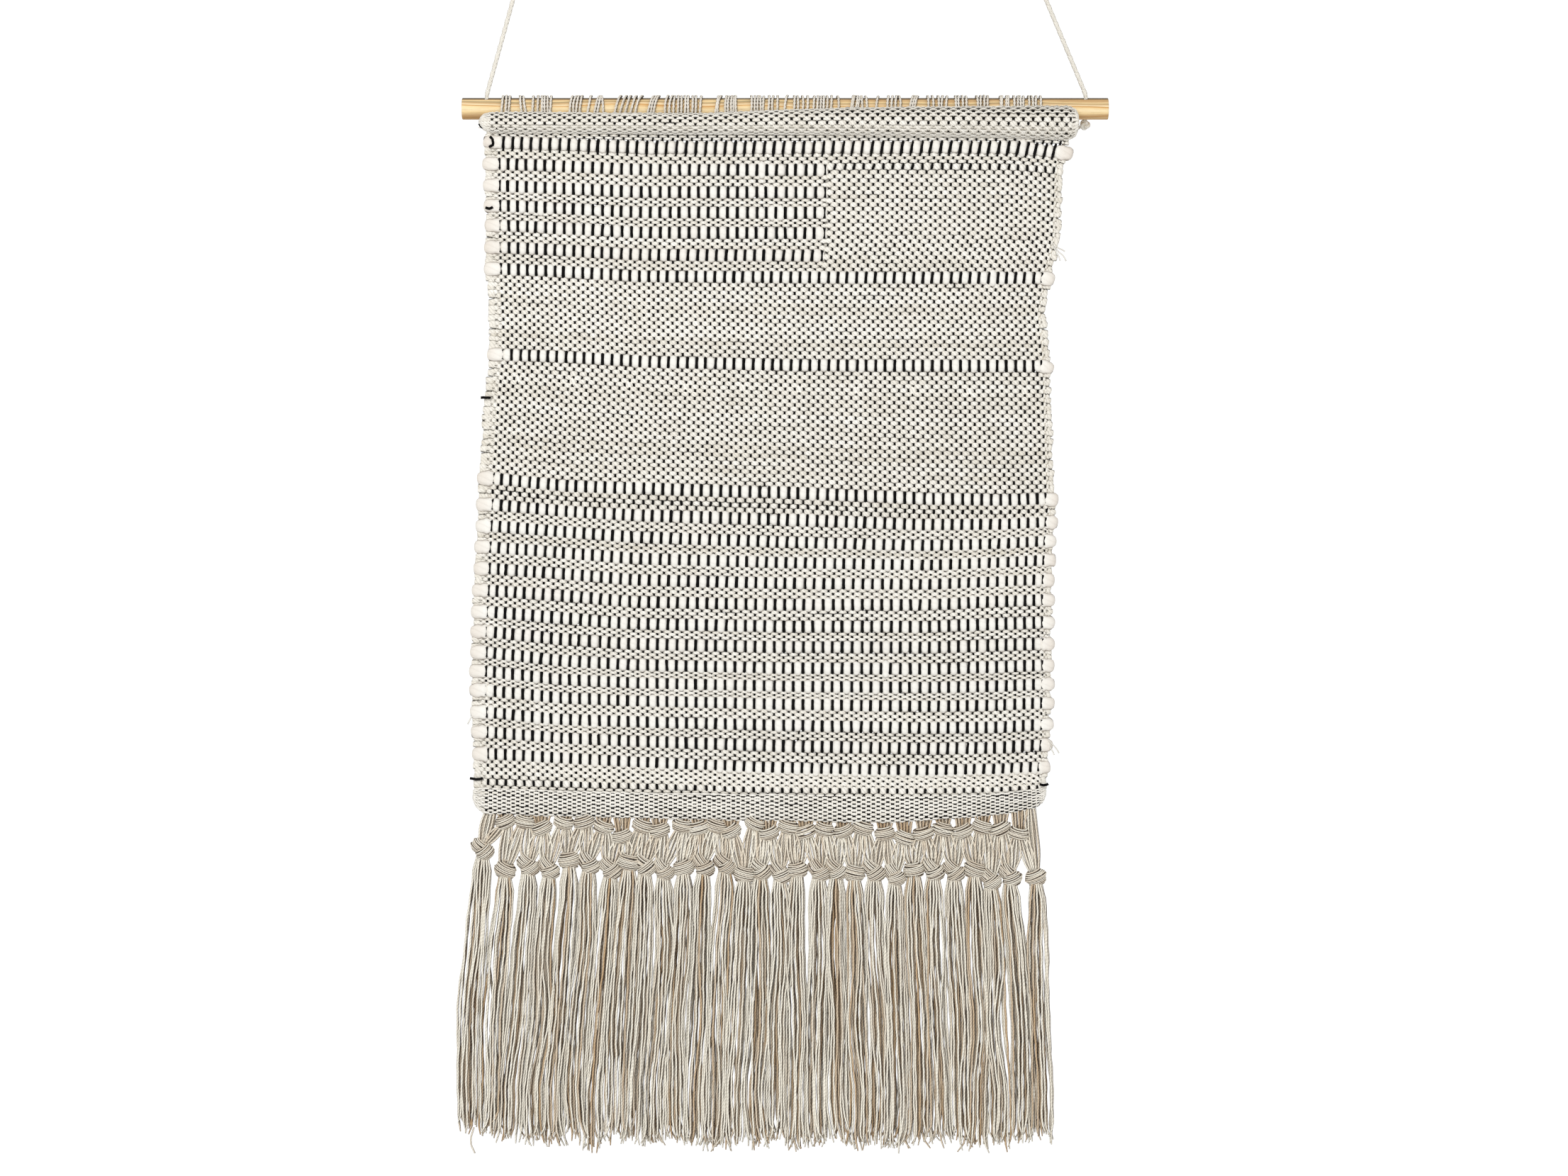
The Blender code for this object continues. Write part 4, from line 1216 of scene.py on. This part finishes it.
def lashingStrand(x, lean, rng):
    # a ring round the dowel that dips into the hem; x leans over the front and comes back behind
    look = lashing
    angle = np.linspace(look["from"], look["to"], 46)
    radius = dowelRadius + look["circle"] + rng.normal(0, 1) * look["circleSpread"]
    lean = (lean + rng.normal(0, look["leanSpread"])) * mm
    share = np.clip((angle + 0.35 * math.pi) / (0.85 * math.pi), 0, 1)
    back = np.clip((angle - 0.5 * math.pi) / (0.9 * math.pi), 0, 1)
    across = x * mm + lean * share * (1 - back) + slowNoise(rng, 1, len(angle), 8)[0] * look["wander"]
    for end in (look["from"], look["to"]):
        radius = radius + look["dip"] * np.exp(-((angle - end) / look["dipAngle"]) ** 2)
    return np.stack([across, -radius * np.cos(angle), axisZ + radius * np.sin(angle)], 1)


def twoPly(paths, reference, turnLength, apart, radius, sides=5):
    # each path becomes two tubes that wind round it half a turn apart
    tangent = unit(np.gradient(paths, axis=1))
    across = unit(np.cross(tangent, reference))
    outward = np.cross(across, tangent)
    step = np.linalg.norm(np.diff(paths, axis=1), axis=2)
    gone = np.concatenate([np.zeros((len(paths), 1)), np.cumsum(step, axis=1)], 1)
    phase = 2 * math.pi * gone / turnLength
    both = []
    for half in (0, math.pi):
        both.append(paths + apart * (np.cos(phase + half)[..., None] * across
                                     + np.sin(phase + half)[..., None] * outward))
    return sweepTubes(np.concatenate(both), radius, radius, np.concatenate([outward] * 2), sides)


def makeLashings():
    # each strand goes to the CAD band that is nearest to it
    rng = np.random.default_rng(31)
    strands = []
    for count, first, last, lean in lashing["groups"]:
        strands += [(x, lean) for x in np.linspace(first, last, count)]
    boxes = {number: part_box(f"lashing_{number:02d}") for number in range(1, lashing["bands"] + 1)}
    middles = {number: (box[0][0] + box[1][0]) / 2 / mm for number, box in boxes.items()}
    reach = {number: (box[1][0] - box[0][0]) / 2 / mm for number, box in boxes.items()}
    owned = {number: [] for number in boxes}
    for x, lean in strands:
        nearest = min(middles, key=lambda number: abs(x - middles[number]) - reach[number])
        owned[nearest].append((x, lean))
    for number, these in owned.items():
        paths = np.array([lashingStrand(x, lean, rng) for x, lean in these])
        radial = unit(paths * np.array([0, 1, 1]) - np.array([0, 0, axisZ]))
        tubes = twoPly(paths, radial, lashing["plyTurn"], lashing["plyApart"], lashing["plyRadius"])
        piece = putMesh(f"lashing_{number:02d}_yarn", toned(tubes, rng, 0.5, 1.0), yarns["lashingYarn"],
                        "cloth")
        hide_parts(f"lashing_{number:02d}")


makeLashings()
print("lashings wound")

# fringe: strands from the hem, two rows of knots, tassels
fringe = {
    "middleY": -15.0 * mm,
    # middle of each knot: x and drop, in mm
    "upper": [(-259, 661), (-241, 661), (-225, 667), (-205, 662), (-186, 661), (-168, 666), (-151, 675),
              (-132, 665), (-116, 669), (-95, 665), (-80, 667), (-64, 665), (-50, 670), (-28, 663),
              (-15, 672), (3, 666), (19, 670), (36, 668), (54, 670), (72, 667), (92, 672), (110, 676),
              (128, 672), (146, 668), (164, 670), (182, 666), (199, 668), (216, 672)],
    "lower": [(-280, 687), (-259, 706), (-238, 702), (-219, 705), (-200, 697), (-182, 700), (-162, 705),
              (-145, 699), (-130, 702), (-113, 706), (-94, 704), (-76, 702), (-56, 701), (-38, 710),
              (-23, 706), (-5, 709), (11, 706), (31, 707), (47, 706), (64, 709), (82, 707), (101, 711),
              (119, 706), (137, 706), (156, 707), (175, 706), (190, 715), (208, 711), (232, 713)],
    "ends": (-291.0, 238.0),                     # x of the first and last tassel at their tips
    "endDrops": [943, 949, 954, 956, 957, 952, 960, 951, 955, 958, 954, 957, 961, 955, 958, 954, 960, 957,
                 954, 959, 956, 960, 957, 954, 958, 961, 957, 955, 952],
    "yarnRadius": 1.08 * mm,
    "bend": (650 * mm, 664 * mm),                # drops where the strands pass from cloth to fringe; nothing reads them
}
knotLook = {
    # half width, height and depth, and how many rings of yarn
    "small": (9.4 * mm, 6.4 * mm, 5.2 * mm, 8), "big": (9.4 * mm, 8.2 * mm, 5.2 * mm, 10),
    # a two-lobed knot: where each lobe lies, its tilt, and its size as above
    "lobes": [(np.array([-2.4, 0.4, 3.2]) * mm, 0.75, (7.8 * mm, 7.0 * mm, 4.6 * mm, 9)),
              (np.array([2.2, -0.6, -2.8]) * mm, -0.5, (8.2 * mm, 6.8 * mm, 5.0 * mm, 9))],
    "slant": (10, 26), "pitch": (12, 26),        # degrees
    "tone": (0.65, 1.05),
}
# fans of yarn: half widths at both ends, swell between them, yarns and points of each
fans = {
    # the roots' dark tones are painted shade under the hem
    "root": (7.5 * mm, 4.6 * mm, 0, 9, 5), "rootShadeTone": (0.05, 0.5),
    "half": (2.8 * mm, 2.6 * mm, 3.2 * mm, 7, 9), "halfTone": (0.55, 1.1),
    "side": (4.5 * mm, 2.6 * mm, 2.5 * mm, 8, 12),
    # where the two outermost fans leave the hem: x and drop
    "sideFrom": ((-272 * mm, 650 * mm), (226 * mm, 647 * mm)),
    "layer": 1.05 * mm, "wander": 0.35 * mm, "drift": 0.3 * mm,
    # how far a root reaches into the hem and its knot; where a half leaves one knot and meets the next
    "intoHem": 2.5 * mm, "intoKnot": 2 * mm,
    "leave": (3.2 * mm, 3.5 * mm), "meet": (2.2 * mm, 4 * mm),
}
tassel = {
    "outer": 16, "inner": 7, "points": 34,       # yarns on each oval, points down each yarn
    # half sizes of the bundle at shares of the way down
    "at": (0, 0.06, 0.3, 1.0), "wide": (4.6, 7.8, 9.2, 9.8), "deep": (2.6, 4.2, 4.4, 4.0),
    "sway": 1.7 * mm, "wander": 1.15 * mm, "drift": 0.6 * mm, "crimp": 0.28 * mm, "crimps": 60,
    "flareFrom": 0.94, "flareWide": 3.2 * mm, "flareDeep": 1.2 * mm, "endSpread": 3.8 * mm,
    "startBelow": 4.5 * mm,                      # under the knot's middle
    "darkYarns": 0.12,
}


def knotRings(centre, size, tilt, pitch, rng):
    # a stack of yarn rings: radius = square root of 1 - 0.6 s^2 along the knot's axis, s from -1 to 1
    wide, tall, deep, rings = size
    s = np.linspace(-1, 1, rings)[:, None]
    angle = np.linspace(0, 2 * math.pi, 18, endpoint=False)
    around = np.sqrt(1 - 0.6 * s ** 2) * (1 + 0.06 * rng.normal(0, 1, (rings, 1)))
    ripple = 0.35 * mm * rng.normal(0, 1, (rings, 1)) * np.sin(angle + rng.uniform(0, 6))
    ring = np.stack([wide * around * np.cos(angle), deep * around * np.sin(angle),
                     s * tall * 0.86 + ripple], -1)
    cp, sp, ct, st = math.cos(pitch), math.sin(pitch), math.cos(tilt), math.sin(tilt)
    lean = np.array([[1, 0, 0], [0, cp, -sp], [0, sp, cp]])
    turn = np.array([[ct, 0, st], [0, 1, 0], [-st, 0, ct]])
    ring = ring @ (turn @ lean).T
    radius = tall * 0.86 / (rings - 1) * 1.08
    return sweepTubes(ring + centre, radius, radius * 1.25, unit(ring), 5, True)


def knotOf(x, drop, number, rng, size):
    # one slanted lump, or two lumps that cross, as an overhand knot shows from either side
    centre = np.array([x, fringe["middleY"], axisZ - drop])
    slant = math.radians(rng.uniform(*knotLook["slant"])) * (1 if number % 2 else -1)
    pitch = math.radians(rng.uniform(*knotLook["pitch"]))
    if size == "big" and number % 3 != 1:
        lumps = [knotRings(centre + place, lobe, tilt + slant * 0.3, pitch, rng)
                 for place, tilt, lobe in knotLook["lobes"]]
    else:
        lumps = [knotRings(centre, knotLook[size], slant, pitch, rng)]
    return joinTubes([toned(lump, rng, *knotLook["tone"]) for lump in lumps])


def strandFan(start, end, fan, rng):
    # yarns side by side: half width runs from one end's to the other's and swells by a sine between
    startHalf, endHalf, bulge, count, points = fan
    t = np.linspace(0, 1, points)
    place = np.linspace(-1, 1, count)[:, None]
    half = startHalf + (endHalf - startHalf) * t + bulge * np.sin(math.pi * t)
    centre = np.asarray(start) + (np.asarray(end) - np.asarray(start)) * t[:, None]
    layer = np.where(np.arange(count) % 2, 1.0, -1.0)[:, None] * fans["layer"]
    x = centre[:, 0] + place * half + slowNoise(rng, count, points, 4) * fans["wander"]
    y = centre[:, 1] + layer * (0.5 + 0.5 * np.sin(math.pi * t)) \
        + slowNoise(rng, count, points, 4) * fans["drift"]
    z = np.broadcast_to(centre[:, 2], x.shape) + fans["drift"] * rng.normal(0, 1, (count, 1))
    radius = fringe["yarnRadius"]
    return sweepTubes(np.stack([x, y, z], -1), radius, radius, (0.03, 1, 0.02), 5)


def hemBottom(x):
    # drop of the bottom hem's lower edge, straight lines between its stations
    stations = hems["bottomHem"]["stations"]
    return np.interp(x, stations[:, 0], stations[:, 2])


def makeNet():
    # roots from the hem to the upper knots, halves of each bundle from there to the lower knots
    rng = np.random.default_rng(41)
    upper = np.array(fringe["upper"]) * mm
    lower = np.array(fringe["lower"]) * mm
    y = fringe["middleY"]
    roots, halves, knots = [], [], []
    leaveX, leaveZ = fans["leave"]
    meetX, meetZ = fans["meet"]
    for place, (x, drop) in enumerate(upper):
        top = hemBottom(x) - fans["intoHem"]
        fan = strandFan((x, y, axisZ - top), (x, y, axisZ - drop + fans["intoKnot"]), fans["root"], rng)
        roots.append(toned(fan, rng, *fans["rootShadeTone"]))
        knots.append(knotOf(x, drop, place, rng, "small"))
        for side, (toX, toDrop) in ((-1, lower[place]), (1, lower[place + 1])):
            start = (x + side * leaveX, y, axisZ - drop - leaveZ)
            end = (toX - side * meetX, y, axisZ - toDrop + meetZ)
            halves.append(toned(strandFan(start, end, fans["half"], rng), rng, *fans["halfTone"]))
    for (x, drop), (toX, toDrop) in zip(fans["sideFrom"], (lower[0], lower[-1])):
        fan = strandFan((x, y, axisZ - drop), (toX, y, axisZ - toDrop + meetZ), fans["side"], rng)
        roots.append(toned(fan, rng, *fans["halfTone"]))
    rootPiece = putMesh("hemStrands", joinTubes(roots), yarns["fringeYarn"], None)
    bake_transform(rootPiece)
    putMesh("upperKnots", joinTubes(knots), yarns["fringeYarn"], "fringe")
    net = putMesh("netStrands", joinTubes(halves), yarns["fringeYarn"], "fringe")
    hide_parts("knot_net")


def tasselTubes(number, rng):
    # yarns stand on two ovals; each wanders slowly, and the whole bundle sways a little
    look = tassel
    points, count = look["points"], look["outer"] + look["inner"]
    x0, drop0 = np.array(fringe["lower"][number]) * mm
    x1 = np.linspace(*fringe["ends"], len(fringe["lower"]))[number] * mm
    drop1 = fringe["endDrops"][number] * mm
    t = np.linspace(0, 1, points)
    sway = slowNoise(rng, 1, points, 9)[0] * look["sway"] * np.minimum(1, t * 4)
    centreX = x0 + (x1 - x0) * np.minimum(1, t * 1.25) ** 1.2 + sway
    ring = np.concatenate([rng.uniform(0.9, 1.08, look["outer"]), np.full(look["inner"], 0.45)])[:, None]
    angle = np.concatenate([np.linspace(0, 2 * math.pi, look["outer"], endpoint=False),
                            np.linspace(0.3, 2 * math.pi + 0.3, look["inner"], endpoint=False)])[:, None]
    wide = np.interp(t, look["at"], look["wide"]) * mm
    deep = np.interp(t, look["at"], look["deep"]) * mm
    loosen = np.minimum(1, t * 5)                # yarns stay put where the knot grips them
    wander = slowNoise(rng, count, points, 9) * loosen * look["wander"]
    drift = slowNoise(rng, count, points, 9) * loosen * look["drift"]
    crimp = np.sin(t * look["crimps"] + rng.uniform(0, 6.3, (count, 1))) * look["crimp"]
    flare = np.maximum(0, t - look["flareFrom"]) / (1 - look["flareFrom"])
    flareX = flare ** 2 * rng.normal(0, look["flareWide"], (count, 1))
    flareY = flare ** 2 * rng.normal(0, look["flareDeep"], (count, 1))
    x = centreX + ring * wide * np.cos(angle) + wander + crimp + flareX
    y = fringe["middleY"] + ring * deep * np.sin(angle) + drift + flareY
    ends = drop1 + rng.normal(0, look["endSpread"], (count, 1))
    start = drop0 + look["startBelow"]
    drop = start + (ends - start) * t
    radius = fringe["yarnRadius"] * (1 - 0.45 * flare ** 3)
    tubes = sweepTubes(np.stack([x, y, axisZ - drop], -1), radius, radius, (0.03, 1, 0.02), 5)
    # painted shade: yarns on the inner oval, deep in the bundle, take dark tones
    tone = np.where(ring[:, 0] < 0.5, rng.uniform(0.1, 0.6, count), rng.uniform(0.85, 1.25, count))
    tone = np.where(rng.uniform(0, 1, count) < look["darkYarns"], rng.uniform(0.0, 0.5, count), tone)
    return toneEach(tubes, tone[:, None] + 0.12 * slowNoise(rng, count, points, 6))


def makeTassels():
    # a lower knot and its yarns are one piece, each with a seed of its own
    for number, (x, drop) in enumerate(np.array(fringe["lower"]) * mm):
        rng = np.random.default_rng(500 + number)
        knot = knotOf(x, drop, number, rng, "big")
        tubes = joinTubes([knot, tasselTubes(number, rng)])
        piece = putMesh(f"tasselYarn_{number + 1:02d}", tubes, yarns["fringeYarn"], "fringe")
        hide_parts(f"tassel_{number + 1:02d}")


# loose ends at the selvedges: x and drop of a few points of each, in mm
looseEnds = {
    # marks of black yarn that passes round the edge
    "black": [[(-281, 269), (-277, 269.6), (-272, 269.2)], [(-291, 621), (-286, 622), (-279, 621.4)],
              [(235, 626.5), (239, 627), (243, 626.4)], [(-283, 16), (-280.5, 19), (-276, 20.5)],
              [(-273, 28), (-270, 30.5), (-269.6, 33), (-270.4, 36), (-274, 38)],
              [(-277, 94), (-273.5, 94.8), (-270, 93.5)]],
    "cream": [[(248, 128), (252, 133), (257, 138), (260, 143)], [(248, 130), (252, 137), (254, 143)],
              [(247, 127), (253, 131), (259, 134.5)], [(243, 585), (248, 591), (253, 598)],
              [(243, 587), (246, 594), (249, 600)], [(-288, 562), (-291, 566), (-293.5, 571)]],
    "stray": [[(-288, 944), (-290, 953), (-290, 961), (-286.5, 967.5)]],
    "depth": -18.3, "blackDepth": -19.6,         # y, in mm
    "radius": {"black": 1.25 * mm, "cream": 0.6 * mm, "stray": 0.8 * mm},
}


def looseTubes(kind, rng, depth=looseEnds["depth"]):
    # straight lines between the points with a slow wander, swept as one thin tube each
    paths = []
    for line in looseEnds[kind]:
        points = np.array(line, float)
        t = np.linspace(0, len(points) - 1, 9)
        x = np.interp(t, np.arange(len(points)), points[:, 0]) + slowNoise(rng, 1, 9, 3)[0] * 0.35
        drop = np.interp(t, np.arange(len(points)), points[:, 1]) + slowNoise(rng, 1, 9, 3)[0] * 0.3
        y = depth + 0.3 * slowNoise(rng, 1, 9, 3)[0]
        paths.append(np.stack([x * mm, y * mm, axisZ - drop * mm], 1))
    radius = looseEnds["radius"][kind]
    return toned(sweepTubes(paths, radius, radius, (0.1, 1, 0.1), 6), rng)


def makeLooseEnds():
    rng = np.random.default_rng(61)
    putMesh("blackEnds", looseTubes("black", rng, looseEnds["blackDepth"]), yarns["blackWarp"],
            "cloth")
    putMesh("creamEnds", looseTubes("cream", rng), yarns["groundWeft"], "cloth")
    putMesh("strayYarn", looseTubes("stray", rng), yarns["fringeYarn"], "fringe")


makeLooseEnds()
makeNet()
makeTassels()
print("fringe knotted")
